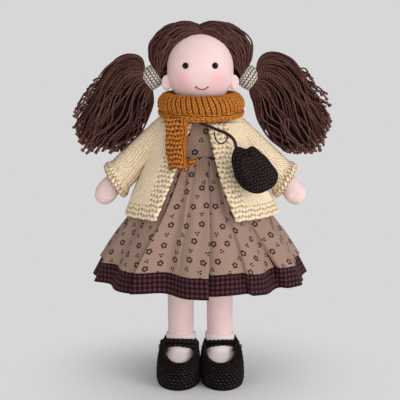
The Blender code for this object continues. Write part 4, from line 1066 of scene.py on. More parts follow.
def pigtailShadeCore(grid, side):
    # dark sheet just inside the strands, painted shade within the bundle
    length, wide, deep = pigtailValues["core"]

    def place(u, v):
        closing = dome(np.clip((v - 0.9) / 0.1, 0.0, 0.98))
        a = 0.5 + wide * np.cos(u * fullTurn) * closing
        return pigtailPoint(grid, side, a, deep * np.sin(u * fullTurn) * closing, v * length)
    mesh = surfaceMesh("pigtailShadeCore", 40, 48, place, weld=True, flip=side < 0.0)
    return keepTones(mesh, *pigtailValues["coreShadeTones"])


def tipKnots(paths):
    def build(bm):
        for path in paths:
            radius = pigtailValues["knot"] * dice.uniform(0.85, 1.15)
            made = bmesh.ops.create_icosphere(bm, subdivisions=2, radius=radius)
            bmesh.ops.scale(bm, verts=made["verts"], vec=dice.uniform(0.85, 1.15, 3))
            bmesh.ops.translate(bm, verts=made["verts"], vec=path[-1])
    return keepTones(newMesh("tipKnots", build), *pigtailValues["knotTones"])


for sideName, side in sides:
    name = "pigtail_yarn_" + sideName
    grid = guideGrid((0.0, 0.5, 1.0), [np.array(line) * mm for line in pigtailValues[sideName]])
    paths = pigtailPaths(grid, side)
    strands = yarnMesh("pigtail_strands_" + sideName, paths, pigtailValues["strand"], hairValues["pitch"])
    mesh = joinMeshes(name, [strands, pigtailShadeCore(grid, side), tipKnots(paths)])
    fitPiece(name, mesh, yarns["hairYarn"], "pigtail_" + sideName, "pigtail_" + sideName)
print("pigtails made")

# body: stuffed torso, hip strip, legs and arms
# each table: share of the length, half width and half depth as shares
torsoValues = {"half": (0.0375, 0.0225), "foot": 0.1663, "top": 0.301,
               "shares": ((0.00, 0.88, 0.12), (0.07, 0.95, 0.50), (0.18, 1.00, 0.80), (0.36, 0.99, 0.955),
                          (0.57, 0.935, 1.00), (0.73, 0.905, 0.98), (0.83, 0.83, 0.83), (0.885, 0.64, 0.66),
                          (0.915, 0.42, 0.63), (1.00, 0.373, 0.622))}
hipValues = {"half": (0.033, 0.0014), "foot": 0.1552, "tall": 0.0106, "corner": 0.15, "flat": (0.066, 0.0125)}
legValues = {"spread": 0.0213, "radius": 0.0146, "foot": 0.0105, "top": 0.155, "pull": 0.00035,
             "shares": ((0.00, 0.45, 0.45), (0.025, 0.80, 0.80), (0.10, 0.92, 0.93), (0.30, 0.95, 0.97),
                        (0.60, 0.98, 1.00), (0.80, 1.00, 1.00), (0.90, 1.00, 0.80), (0.95, 0.98, 0.46),
                        (0.985, 0.96, 0.14), (1.00, 0.95, 0.03))}
armValues = {"slopeDeg": 46.3, "length": 0.1015, "half": 0.0128, "shoulder": (0.0421, 0.2695),
             # how far the hand hangs, from which share of the length, and over which
             "droop": (0.0030, 0.55, 0.45),
             # height, place along the arm and its width, place round it in half turns and its width
             "thumb": (0.0016, 0.84, 0.055, 1.28, 0.42), "crease": (0.0010, 0.875, 0.012, 1.45, 0.42),
             "shares": ((-0.0895, 0.06, 0.06), (-0.0776, 0.318, 0.318), (-0.0448, 0.551, 0.551),
                        (0.00, 0.637, 0.637), (0.25, 0.64, 0.64), (0.50, 0.62, 0.62), (0.66, 0.62, 0.58),
                        (0.76, 0.84, 0.70), (0.84, 0.92, 0.78), (0.91, 0.86, 0.74), (0.96, 0.66, 0.58),
                        (0.985, 0.44, 0.40), (1.00, 0.08, 0.08))}


def torsoSizes(height):
    share = (height - torsoValues["foot"]) / (torsoValues["top"] - torsoValues["foot"])
    return [size * half for size, half in zip(readRows(torsoValues["shares"], share), torsoValues["half"])]


def torsoPlace(u, v):
    height = torsoValues["foot"] + v * (torsoValues["top"] - torsoValues["foot"])
    wide, deep = torsoSizes(height)
    return xyz(np.cos(u * fullTurn) * wide, np.sin(u * fullTurn) * deep, height)


def hipPlace(u, v):
    wide = hipValues["half"][0] * blunt(np.cos(u * fullTurn), hipValues["corner"])
    return xyz(wide, hipValues["half"][1] * np.sin(u * fullTurn), hipValues["foot"] + v * hipValues["tall"])


def fitPadded(name, columns, rows, place, node):
    piece = fitPiece(name, cappedTube(name, columns, rows, place), skin, node, node)


fitPadded("torso_form", 72, 60, torsoPlace, "torso")
hip = fitPiece("hip_strip_cloth", cappedTube("hip_strip_cloth", 64, 8, hipPlace), skin, "hip_strip",
               "hip_strip")

for sideName, side in sides:
    def legPlace(u, v, side=side):
        wide, deep = readRows(legValues["shares"], v)
        pull = legValues["pull"] * np.cos(u * fullTurn * 9.0) * bell(v, 0.9, 0.05)
        return xyz(side * legValues["spread"] + np.cos(u * fullTurn) * (wide * legValues["radius"] + pull),
                   np.sin(u * fullTurn) * (deep * legValues["radius"] + pull),
                   legValues["foot"] + v * (legValues["top"] - legValues["foot"]))
    fitPadded("leg_form_" + sideName, 64, 90, legPlace, "leg_" + sideName)

    def armPlace(u, v, side=side):
        # mitten hand with a thumb sewn as a fold on its front
        along, across = slopeAxes(side, armValues["slopeDeg"])
        shoulder = np.array([side * armValues["shoulder"][0], 0.0, armValues["shoulder"][1]])
        start = armValues["shares"][0][0]
        distance = start + v * (1.0 - start)
        wide, deep = readRows(armValues["shares"], distance)
        angle = u * fullTurn
        thumb, crease = [height * (bell(distance, place, long) * bell(angle, turn * math.pi, wide))
                         for height, place, long, turn, wide in (armValues["thumb"], armValues["crease"])]
        grow = thumb - crease
        hang, begins, takes = armValues["droop"]
        droop = hang * easeIn((distance - begins) / takes)
        first = (wide * armValues["half"] + grow) * np.cos(angle) - droop
        second = (deep * armValues["half"] + grow) * np.sin(angle)
        point = shoulder + along * (distance * armValues["length"])[:, None] + across * first[:, None]
        point[:, 1] += second
        return point
    fitPadded("arm_form_" + sideName, 72, 110, armPlace, "arm_" + sideName)
print("body made")

# dress: flowered bodice and skirt, checked flounce below
skirtValues = {"waist": 0.2445, "hem": 0.134, "half": (0.1060, 0.0960), "thickness": 0.0009, "near": 0.0028,
               "flare": ((0.0, 0.0), (0.08, 0.06), (0.28, 0.24), (0.54, 0.50), (0.78, 0.78), (1.0, 1.0)),
               "fold": 0.0058, "waves": ((0.6, 11.0, 0.8), (0.4, 17.0, 2.1), (0.35, 7.0, -1.2)),
               # height, count, unevenness, and how soon the gathers fade
               "gathers": (0.0007, 64.0, 1.5, 7.0),
               # sag of the hem: height, count and phase
               "sag": (0.0012, 9.0, 0.5),
               "closer": 0.45, "waistReach": 0.047, "slant": 0.128,
               "flat": (0.36, 0.24), "area": 0.060,
               # angle at the waist and at the hem, width, overlap and depth at the hem,
               # +1 where the left part is on top
               "pleats": ((0.20, 0.035, 0.050, 0.066, 0.0052, 1.0), (-0.44, -0.58, 0.052, 0.060, 0.0050, -1.0),
                          (0.66, 0.86, 0.060, 0.030, 0.0022, -1.0), (-0.20, -0.22, 0.065, 0.030, 0.0032, 1.0),
                          (0.42, 0.44, 0.06, 0.024, 0.0026, -1.0), (2.2, 2.15, 0.07, 0.045, 0.0034, 1.0),
                          (-2.3, -2.2, 0.07, 0.045, 0.0034, -1.0), (2.8, 2.75, 0.06, 0.04, 0.003, 1.0))}
flounceValues = {"top": 0.158, "hem": 0.1145, "half": (0.1150, 0.1055), "inside": 0.0024,
                 "flat": (0.73, 0.049)}
bodiceValues = {"tall": 0.0390, "tuck": 0.0010, "gathers": (0.00035, 58.0, 7.0), "ease": 0.0014,
                "around": 0.033, "print": (0.004, 0.02), "thickness": 0.0008, "flat": (0.20, 0.039)}


def dropShare(height):
    return (skirtValues["waist"] - height) / (skirtValues["waist"] - skirtValues["hem"])


def skirtSizes(height):
    flare = readRows(skirtValues["flare"], dropShare(height))[0]
    waist = [size + skirtValues["near"] for size in torsoSizes(np.full_like(height, skirtValues["waist"]))]
    return [size + flare * (half - size) for size, half in zip(waist, skirtValues["half"])] + [flare]


def pleated(cloth, drop, flare):
    # where a strip of cloth ends up round the hoop, and how far in or out it lies
    angle = cloth.copy()
    out = skirtValues["fold"] * flare * sum(share * np.cos(count * cloth + phase)
                                            for share, count, phase in skirtValues["waves"])
    for top, hem, width, overlap, depth, lean in skirtValues["pleats"]:
        x = (cloth - (top + (hem - top) * np.clip(drop, 0.0, 1.1))) / width
        # 2.33 brings the bulge's peak to 1
        bulge = 2.33 * x * np.exp(-x * x)
        angle -= overlap * bulge * (0.35 + 0.65 * flare)
        out -= lean * depth * bulge * (0.25 + 0.75 * flare)
    return angle, out


def clothAngle(u):
    # closer columns at the front, where the pleats are sharp
    q = u * 2.0 - 1.0
    return math.pi * q - skirtValues["closer"] * np.sin(math.pi * q)


def hemSag(cloth):
    height, count, phase = skirtValues["sag"]
    return height * np.cos(count * cloth + phase)


def hoop(angle, wide, deep, out, height):
    # a point of a hoop round the body, its seam at the back
    return xyz(np.sin(angle) * (wide + out), -np.cos(angle) * (deep + out), height)


def skirtPlace(u, v):
    drop = 1.0 - v
    height = skirtValues["waist"] - drop * (skirtValues["waist"] - skirtValues["hem"])
    wide, deep, flare = skirtSizes(height)
    cloth = clothAngle(u)
    angle, out = pleated(cloth, drop, flare)
    high, count, unevenly, fade = skirtValues["gathers"]
    gathers = high * np.cos(count * cloth + unevenly * np.sin(5.0 * cloth)) * np.exp(-drop * fade)
    return hoop(angle, wide, deep, out + gathers, height - flare * hemSag(cloth))


def skirtCloth(u, v):
    # the skirt is cut as part of a ring, so its pattern fans out
    reach = skirtValues["waistReach"] + (1.0 - v) * skirtValues["slant"]
    turn = readGrid(skirtLengths, u, v)[:, 0] / reach
    return reach * np.sin(turn), -reach * np.cos(turn)


def flouncePlace(u, v):
    height = flounceValues["hem"] + v * (flounceValues["top"] - flounceValues["hem"])
    inside = flounceValues["inside"]
    sizes = skirtSizes(np.maximum(height, skirtValues["hem"]))
    below = np.clip((skirtValues["hem"] - height) / (skirtValues["hem"] - flounceValues["hem"]), 0.0, 1.0)
    wide, deep = [size - inside + below * (own - above + inside * 0.6)
                  for size, own, above in zip(sizes, flounceValues["half"], skirtValues["half"])]
    cloth = clothAngle(u)
    angle, out = pleated(cloth, np.minimum(dropShare(height), 1.0), sizes[2])
    return hoop(angle, wide, deep, out, height - hemSag(cloth))


def flounceCloth(u, v):
    return readGrid(flounceLengths, u, v)[:, 0], v * flounceValues["flat"][1]


def bodicePlace(u, v):
    height = skirtValues["waist"] - bodiceValues["tuck"] + v * bodiceValues["tall"]
    wide, deep = torsoSizes(height)
    angle = clothAngle(u)
    high, count, fade = bodiceValues["gathers"]
    gathers = high * np.cos(count * angle) * np.exp(-v * fade)
    return hoop(angle, wide, deep, bodiceValues["ease"] * (1.0 + np.exp(-v * 9.0)) + gathers, height)


def bodiceCloth(u, v):
    across, up = bodiceValues["print"]
    return clothAngle(u) * bodiceValues["around"] + across, v * bodiceValues["tall"] + up


def foldWithSeat(piece):
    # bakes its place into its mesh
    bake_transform(piece)


def fitCloth(name, columns, rows, place, cloth, material, node, thickness, body=None):
    # a sheet closed round the body, given its thickness inwards
    mesh = surfaceMesh(name, columns, rows, place, cloth, weld=True)
    piece = fitPiece(name, mesh, material, node, body)
    solid = piece.modifiers.new("thickness", "SOLIDIFY")
    solid.thickness = thickness
    solid.offset = -1.0
    if body is None:
        foldWithSeat(piece)
    return piece


skirtLengths, flounceLengths = lengthGrid(skirtPlace), lengthGrid(flouncePlace)
skirt = fitCloth("dress_skirt_cloth", 560, 72, skirtPlace, skirtCloth, flowerCotton,
                 "dress_skirt", skirtValues["thickness"])
flounce = fitCloth("flounce_cloth", 560, 28, flouncePlace, flounceCloth, checkedCotton,
                   "checked_flounce", skirtValues["thickness"])
bodice = fitCloth("bodice_cloth", 240, 40, bodicePlace, bodiceCloth, flowerCotton,
                  "dress_bodice", bodiceValues["thickness"], "torso")
print("dress made")

# cardigan: two fronts, a back and two sleeves, knitted with bumpy edges
cardiganValues = {
    "hem": 0.1830, "top": 0.2790, "half": (0.0820, 0.0740), "thickness": 0.0030, "beyondSeam": 0.12,
    "wide": 0.0034, "tall": 0.0026, "ridge": 0.0050, "ridgeWide": 1.25, "band": 0.0185, "hemBand": 0.0150,
    "blend": 0.0012, "depth": 0.0013, "innerDepth": 0.0003, "frontFlare": (0.0022, 0.16), "backBeyond": 0.02,
    # waves round the body: height, how much they fade upwards, count and slant
    "drape": ((0.0014, 1.0, 5.0, 2.0), (0.0008, 0.0, 9.0, -5.0)),
    # share of the height, half width and half depth as shares
    "shares": ((0.0, 1.0, 1.0), (0.20, 0.905, 0.87), (0.42, 0.78, 0.705), (0.60, 0.695, 0.60),
               (0.75, 0.64, 0.525), (0.90, 0.59, 0.45), (1.0, 0.53, 0.40)),
    # share of the height, and where the front edge lies as a share of the quarter turn
    "leftEdge": ((0.0, 0.29), (0.33, 0.225), (0.67, 0.18), (1.0, 0.118)),
    "rightEdge": ((0.0, 0.37), (0.52, 0.284), (1.0, 0.148)),
    # as knitted, before it was worn
    "flatLeft": (0.088, 0.100), "flatRight": (0.081, 0.100), "flatBack": (0.200, 0.100),
}


def cardiganSizes(share):
    sizes = readRows(cardiganValues["shares"], np.clip(share, 0.0, 1.0))
    return [size * half for size, half in zip(sizes, cardiganValues["half"])]


def cardiganPoint(turn, share, inward):
    wide, deep = cardiganSizes(share)
    height = cardiganValues["hem"] + share * (cardiganValues["top"] - cardiganValues["hem"])
    drape = sum(high * (1.0 - fade * share) * np.sin(count * turn + slant * share)
                for high, fade, count, slant in cardiganValues["drape"])
    return hoop(turn, wide, deep, drape - inward, height)


def borderKnit(s, t, rise, ridge, knobbly, bordered):
    # plain knit in the middle, ridges where bordered is 1
    value = cardiganValues
    plain = stockingStitch(s, rise, value["wide"], value["tall"])
    ridged = garterStitch(s, t, value["wide"] * value["ridgeWide"], ridge, knobbly)
    return plain * (1.0 - bordered) + ridged * bordered


def cardiganKnit(s, t, edgeAway):
    value = cardiganValues
    bordered = np.maximum(easeIn((value["hemBand"] - t) / value["blend"]),
                          easeIn((value["band"] - edgeAway) / value["blend"]))
    return borderKnit(s, t, t, value["ridge"], 0.50, bordered)


def fitPanel(name, columns, rows, place, cloth, openFront, node):
    # outer face with its stitches, its open edges rolled in, and a plainer inner face
    value = cardiganValues

    def lipped(u, v):
        s, t = cloth(u, v)
        away = np.minimum(s, t) if openFront else t
        roll = 1.0 - dome(np.clip(1.0 - np.minimum(away, 1.0) / (value["thickness"] * 0.8), 0.0, 1.0))
        return place(u, v, roll * value["thickness"] * 0.9)

    def outerKnit(s, t, u, v):
        return cardiganKnit(s, t, s if openFront else 1.0)

    def innerKnit(s, t, u, v):
        return garterStitch(s, t, value["wide"], value["ridge"]) * 0.5
    outer = surfaceMesh(name, columns, rows, lipped, cloth, outerKnit, value["depth"])
    inner = surfaceMesh(name + "Inner", columns // 4, rows // 4, lambda u, v: place(u, v, value["thickness"]),
                        cloth, innerKnit, value["innerDepth"], flip=True)
    piece = fitPiece(name, joinMeshes(name, [outer, inner]), yarns["creamWool"], node)
    foldWithSeat(piece)


for sideName, side in sides:
    def frontEdge(u, v, side=side, rows=cardiganValues[sideName + "Edge"]):
        # how far across the panel, its edge's turn, and the turn from there to the side seam
        edge = quarterTurn * readRows(rows, np.clip(v, 0.0, 1.0))[0]
        return (u if side > 0.0 else 1.0 - u), edge, quarterTurn + cardiganValues["beyondSeam"] - edge

    def frontPlace(u, v, inward, side=side, frontEdge=frontEdge):
        across, edge, reach = frontEdge(u, v)
        out, wide = cardiganValues["frontFlare"]
        flare = out * bell(across, 0.0, wide) * (1.0 - v)
        return cardiganPoint(side * (edge + across * reach), v, inward - flare)

    def frontCloth(u, v, frontEdge=frontEdge):
        across, edge, reach = frontEdge(u, v)
        return across * reach * 0.5 * sum(cardiganSizes(v)), v * cardiganValues["flatLeft"][1]
    fitPanel("cardigan_front_knit_" + sideName, 180, 204, frontPlace, frontCloth, True,
             "cardigan_front_" + sideName)


def backPlace(u, v, inward):
    beyond = cardiganValues["backBeyond"]
    return cardiganPoint(quarterTurn - beyond + u * (math.pi + 2.0 * beyond), v, inward)


def backCloth(u, v):
    return (u - 0.5) * math.pi * 0.5 * sum(cardiganSizes(v)) + 0.5, v * cardiganValues["flatBack"][1]


fitPanel("cardigan_back_knit", 344, 192, backPlace, backCloth, False, "cardigan_back")

sleeveValues = {"shoulder": (0.0425, 0.2700), "above": 0.0125, "below": 0.0145, "from": -0.28, "long": 0.098,
                "cuffTop": (0.1036, 0.2308), "cuffFoot": (0.0835, 0.1985), "radius": 0.0118,
                "cuffDepth": 0.0200, "cuff": 0.0112, "cuffRidge": 0.0054, "cuffKnobbly": 0.78,
                "wall": 0.0026, "around": (0.075, 0.04), "roll": 0.0022, "innerRidge": 0.0044,
                "innerDepth": 0.0002,
                # the cuff's swelling and the dip above it: height, distance from the edge, width
                "cuffShape": ((0.0026, 0.0052, 0.0052), (-0.0008, 0.0136, 0.003)),
                # creases at the elbow: depth, turn round the sleeve and its width, place along it, length
                "creases": ((0.0016, 1.18, 0.10, 0.62, 0.30), (0.0011, 1.36, 0.08, 0.70, 0.22)),
                "blendFrom": (0.036, 0.276), "blendTo": (0.060, 0.250), "flat": (0.100, 0.100)}


def atSide(side, spot):
    return np.array([side * spot[0], 0.0, spot[1]])


def sleeveCloth(u, v):
    base, more = sleeveValues["around"]
    return (u - 0.5) * (base + more * v) + 0.5, v * sleeveValues["long"]


def sleeveKnit(s, t, u, v):
    bordered = easeIn((sleeveValues["cuff"] - (sleeveValues["long"] - t)) / 0.001)
    return borderKnit(s, t, -t, sleeveValues["cuffRidge"], sleeveValues["cuffKnobbly"], bordered)


def sleeveInnerKnit(s, t, u, v):
    return garterStitch(s, t, cardiganValues["wide"], sleeveValues["innerRidge"]) * 0.5


for sideName, side in sides:
    def sleevePlace(u, v, inward=0.0, side=side):
        # v runs from the shoulder to the cuff's edge, the cuff swells a little
        value = sleeveValues
        up = slopeAxes(side, armValues["slopeDeg"])[1]
        along = (value["from"] + v * (1.0 - value["from"]))[:, None]
        shoulder = atSide(side, value["shoulder"])
        topFrom, footFrom = shoulder + up * value["above"], shoulder - up * value["below"]
        top = topFrom + (atSide(side, value["cuffTop"]) - topFrom) * along
        foot = footFrom + (atSide(side, value["cuffFoot"]) - footFrom) * along
        half = (top - foot) * 0.5
        angle = -side * u * fullTurn
        toEnd = (1.0 - v) * value["long"]
        cuff = sum(high * bell(toEnd, spot, wide) for high, spot, wide in value["cuffShape"])
        roll = cardiganValues["thickness"] * (1.0 - dome(np.clip(1.0 - toEnd / value["roll"], 0.0, 1.0)))
        crease = sum(deep * bell(u * fullTurn, turn * math.pi, wide) * bell(v, place, long)
                     for deep, turn, wide, place, long in value["creases"])
        grow = cuff - roll - crease - inward
        depth = value["radius"] + along[:, 0] * (value["cuffDepth"] - value["radius"])
        spread = (1.0 + grow / np.linalg.norm(half, axis=1)) * np.cos(angle)
        point = (top + foot) * 0.5 + half * spread[:, None]
        point[:, 1] += (depth + grow) * np.sin(angle)
        return point

    def sleeveInner(u, v, sleevePlace=sleevePlace):
        return sleevePlace(u, v, sleeveValues["wall"])
    name = "sleeve_knit_" + sideName
    outer = surfaceMesh("sleeveOuter", 216, 184, sleevePlace, sleeveCloth, sleeveKnit, cardiganValues["depth"],
                        weld=True, flip=True)
    inner = surfaceMesh("sleeveInner", 48, 40, sleeveInner, sleeveCloth, sleeveInnerKnit,
                        sleeveValues["innerDepth"], weld=True)
    sleeve = fitPiece(name, joinMeshes(name, [outer, inner]), yarns["creamWool"],
                      "sleeve_" + sideName)
    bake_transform(sleeve)
print("cardigan made")

# scarf: one wrap round the neck and its hanging end
scarfValues = {
    "radius": 0.046, "lean": 0.09, "rib": 0.0062, "bead": 0.0043, "depth": 0.0021, "cut": 0.066, "skew": 0.20,
    "valley": (0.60, 0.13), "turned": (0.0235, 0.0045), "flat": (0.290, 0.066),
    # soft waves of its radius and of its height: reach, count and phase
    "soft": ((0.0012, 3.0, 0.6), (0.0008, 5.0, 2.0)), "dip": (0.0007, 2.0, 1.0),
    # share of the way round its section, share of the radius, height at the side of the neck
    "shares": ((0.0, 0.62, 0.3020), (0.08, 0.68, 0.3068), (0.16, 0.755, 0.3092), (0.26, 0.850, 0.3084),
               (0.36, 0.925, 0.3052), (0.46, 0.965, 0.3008), (0.56, 0.965, 0.2962), (0.615, 0.940, 0.2936),
               (0.68, 0.960, 0.2912), (0.77, 0.955, 0.2884), (0.86, 0.91, 0.2868), (0.93, 0.80, 0.2868),
               (1.0, 0.62, 0.2890)),
}


def scarfPlace(u, v):
    radius, height = readRows(scarfValues["shares"], v)
    angle = u * fullTurn
    soft = sum(reach * np.sin(count * angle + phase) for reach, count, phase in scarfValues["soft"])
    size = radius * scarfValues["radius"] + soft * (0.3 + 0.5 * v)
    y = size * np.sin(angle)
    reach, count, phase = scarfValues["dip"]
    dip = reach * np.sin(count * angle + phase) * v
    return xyz(size * np.cos(angle), y, height + y * scarfValues["lean"] + dip)


def scarfCloth(u, v):
    return u * fullTurn * scarfValues["radius"], (1.0 - v) * scarfValues["cut"]


def scarfKnit(s, t, u, v):
    # ribs down the side, a turned row of stitches along the rolled foot
    around = fullTurn * scarfValues["radius"]
    rib = around / round(around / scarfValues["rib"])
    skewed = s + scarfValues["skew"] * t
    between = (skewed / rib) % 1.0
    deep, wide = scarfValues["valley"]
    high, low = scarfValues["turned"]
    ribs = stockingStitch(skewed, t, rib, scarfValues["bead"], 0.9)
    # deeper valleys between the ribs, both sunk and darkened towards the gap colour as painted shade
    ribs = ribs * (1.0 - deep * bell(between, np.round(between), wide))
    turned = stockingStitch(t + 0.0012, s, 0.0075, rib * 0.9, 0.6)
    rolled = easeIn((high - t) / 0.0010) * easeIn((t - low) / 0.001)
    return ribs * (1.0 - rolled) + turned * rolled


scarfMesh = surfaceMesh("scarf_loop_knit", 396, 114, scarfPlace, scarfCloth, scarfKnit, scarfValues["depth"],
                        weld=True, flip=True)
scarf = fitPiece("scarf_loop_knit", scarfMesh, yarns["mustardWool"], "scarf_loop", "torso")

# its end: left and right edge at the top and at the foot, hinge, thickness and stitches
tailValues = {"top": (-0.0376, -0.0122), "low": (-0.0330, -0.0138), "hinge": (-0.0405, 0.2852), "foot": 0.2325,
              "lean": 0.0085, "half": 0.0023, "wide": 0.0240, "long": 0.052, "depth": 0.0014,
              "bump": (0.0038, 0.0046), "plain": (0.0048, 0.0036), "plainFrom": 0.0056, "plainTo": 0.0125,
              # its foot's ripple: height, length and phase; then its curl across and along, and its sway
              "ripple": (0.0016, 0.0031, 0.6), "curl": (0.0018, 0.0009), "sway": 0.0008,
              "flat": (0.060, 0.054)}
# the other end's corner, looking out behind the first: its middle, half sizes and stitches
cornerValues = {"spot": (-0.0088, 0.2412), "behind": 0.0058, "half": (0.0048, 0.0017, 0.0036), "slant": 0.3,
                "bump": (0.0032, 0.0036), "depth": 0.0009}


def roundedStrip(u, wide, thick):
    # once round the section of a flat strip with round edges, in even steps
    flat = wide - 2.0 * thick
    bow = math.pi * thick
    travelled = (u % 1.0) * (2.0 * flat + 2.0 * bow)
    back = travelled >= flat + bow
    along = np.where(back, travelled - flat - bow, travelled)
    turn = np.clip((along - flat) / thick, 0.0, math.pi)
    sign = np.where(back, -1.0, 1.0)
    return (np.minimum(along, flat) - flat * 0.5 + thick * np.sin(turn)) * sign, -thick * np.cos(turn) * sign


def tailPlace(u, v):
    # u goes once round the flat strip, v from the top to the foot
    low, high = [top * (1.0 - v) + foot * v for top, foot in zip(tailValues["top"], tailValues["low"])]
    x, y = roundedStrip(u, high - low, tailValues["half"])
    close = closedEnds(v, 0.03, 0.045)
    top = tailValues["hinge"][1] + 0.0010
    reach, long, phase = tailValues["ripple"]
    height = top - v * (top - tailValues["foot"]) + reach * v ** 4 * np.cos(x / long + phase)
    aside, down = tailValues["curl"]
    curl = aside * np.cos(2.0 * x / (high - low) * math.pi) * v + down * np.sin(v * 9.0)
    across = (low + high) * 0.5 + x * (0.94 + 0.06 * close) + tailValues["sway"] * np.sin(v * 8.0)
    return xyz(across, tailValues["hinge"][0] - tailValues["lean"] * v - curl + y * close, height)


def tailCloth(u, v):
    flat = tailValues["wide"] - 2.0 * tailValues["half"]
    around = 2.0 * flat + fullTurn * tailValues["half"]
    return (u % 1.0) * around - flat * 0.5, v * tailValues["long"]


def tailKnit(s, t, u, v):
    # bumpy rows with one plain column along the inner edge
    plainEdge = easeIn((s - tailValues["plainFrom"]) / 0.0008) * easeIn((tailValues["plainTo"] - s) / 0.0008)
    plain = stockingStitch(s - 0.0076, t, *tailValues["plain"])
    return garterStitch(s, t, *tailValues["bump"]) * (1.0 - plainEdge) + plain * plainEdge


def cornerPlace(u, v):
    half, angle = cornerValues["half"], u * fullTurn
    ring = dome(np.clip(2.0 * v - 1.0, -0.999, 0.999)) ** 0.6
    out = (2.0 * v - 1.0) * half[0]
    x, z = cornerValues["spot"]
    middle = np.array((x, tailValues["hinge"][0] - cornerValues["behind"], z))
    rise = ring * half[2] * np.sin(angle) + out * cornerValues["slant"]
    return xyz(out, ring * half[1] * np.cos(angle), rise) + middle


def cornerCloth(u, v):
    return v * 0.0096, u * 0.018


def cornerKnit(s, t, u, v):
    return garterStitch(s, t, *cornerValues["bump"])


tailMesh = surfaceMesh("scarfTail", 232, 152, tailPlace, tailCloth, tailKnit, tailValues["depth"], weld=True)
corner = surfaceMesh("scarfCorner", 60, 40, cornerPlace, cornerCloth, cornerKnit, cornerValues["depth"],
                     weld=True)
for mesh in (tailMesh, corner):
    changeMesh(mesh, turnOutward)
tail = fitPiece("scarf_end_knit", joinMeshes("scarf_end_knit", [tailMesh, corner]), yarns["mustardWool"],
                "scarf_tail_front", "scarf_end")
print("scarf made")

# bag: crocheted pouch worked in rounds, with two grooves beside its rim
bagValues = {"middle": (0.0547, -0.0612, 0.2345), "half": (0.0235, 0.0240), "depth": 0.0090, "power": 3.0,
             "stitch": 0.0034, "round": 0.0034, "relief": 0.0015, "rimStitches": 44.0, "rimRound": 0.0032,
             "cloth": (0.126, 0.062), "slant": (0.94, 0.34), "wobble": 0.0005, "rounding": 0.11,
             # each groove: depth, place and width as shares of the radius
             "grooves": ((0.0024, 0.84, 0.045), (0.0022, 0.68, 0.035)),
             "outline": ((-0.93, 0.80), (-0.84, 0.98), (-0.66, 1.00), (-0.40, 0.84), (-0.13, 1.03),
                         (0.12, 0.86), (0.33, 0.66), (0.69, 0.25), (1.00, -0.19), (0.94, -0.54), (0.54, -0.86),
                         (0.11, -1.00), (-0.28, -0.90), (-0.68, -0.58), (-0.92, 0.0), (-1.00, 0.50))}


def bagReach(angle):
    corners = np.array(bagValues["outline"])
    turns = np.arctan2(corners[:, 1], corners[:, 0])
    order = np.argsort(turns)
    return np.interp(angle, turns[order], np.linalg.norm(corners[order], axis=1), period=fullTurn)


bagAngles = np.linspace(-math.pi, math.pi, 361)
bagShifts = np.linspace(-bagValues["rounding"], bagValues["rounding"], 9)
bagRounded = np.array([bagReach(bagAngles + shift) for shift in bagShifts]).mean(axis=0)


def bagPlace(u, v):
    # v from the middle of the front, over the rim, to the middle of the back
    value = bagValues
    angle = (u * 2.0 - 1.0) * math.pi
    reach = np.interp(angle, bagAngles, bagRounded, period=fullTurn)
    ring, front = np.sin(v * math.pi), np.cos(v * math.pi)
    swell = (np.abs(ring) ** value["power"] + np.abs(front) ** value["power"]) ** (-1.0 / value["power"])
    ring, front = ring * swell, front * swell
    beside = easeIn((-np.cos(angle) + 0.1) / 0.5)
    outer, inner = [deep * bell(ring, place, wide) for deep, place, wide in value["grooves"]]
    groove = (outer * (0.25 + 0.75 * beside) + inner * beside) * (front > 0.0)
    x, y, z = value["middle"]
    return xyz(x + np.cos(angle) * reach * ring * value["half"][0], y - front * value["depth"] + groove,
               z + np.sin(angle) * reach * ring * value["half"][1])


def bagCloth(u, v):
    return u * bagValues["cloth"][0], v * bagValues["cloth"][1]


def bagCrochet(s, t, u, v):
    # rounds lie aslant on both faces and straight along the rim
    spots = bagPlace(u, v)
    out, rise = spots[:, 0] - bagValues["middle"][0], spots[:, 2] - bagValues["middle"][2]
    more, less = bagValues["slant"]
    x, z = uneven(out * more + rise * less, rise * more - out * less, bagValues["wobble"])
    face = crochetStitch(x + 0.1, z + 0.1, bagValues["stitch"], bagValues["round"])
    rim = crochetStitch(u * bagValues["rimStitches"], spots[:, 1] + 0.1, 1.0, bagValues["rimRound"])
    sideways = bell(v, 0.5, 0.10)
    return face * (1.0 - sideways) + rim * sideways


bagMesh = surfaceMesh("bag_crochet", 288, 144, bagPlace, bagCloth, bagCrochet, bagValues["relief"], weld=True)
changeMesh(bagMesh, turnOutward)
bag = fitPiece("bag_crochet", bagMesh, yarns["darkCotton"], "bag_pouch", "bag")
print("bag made")

# socks and crocheted bar shoes
sockValues = {"footHalf": (0.0200, 0.0300, 0.0106), "footMiddle": (0.0225, -0.0145, 0.0172), "instep": 0.0060,
              "radius": 0.0161, "edge": 0.0004, "foot": 0.0095, "tall": 0.0405, "voxel": 0.0009,
              "soften": (14, 0.6)}
shoeValues = {"centre": 0.0236, "forward": 0.0150, "half": (0.0230, 0.0350), "sole": 0.0040, "wall": 0.0024,
              "mouth": (0.0168, 0.0188), "mouthForward": 0.0186, "mouthIn": 0.0016, "mouthBack": 0.0165,
              "toe": 0.0250, "heel": 0.0500, "around": 34.0, "round": 0.0037, "relief": 0.0017,
              "rim": 0.0017, "rimPitch": 0.0040, "cloth": (0.185, 0.040),
              "lining": 0.3, "soleLift": 0.00012, "soleStitches": (46.0, 12.0), "soleRelief": 0.0003,
              "soleCloth": (0.19, 0.04)}
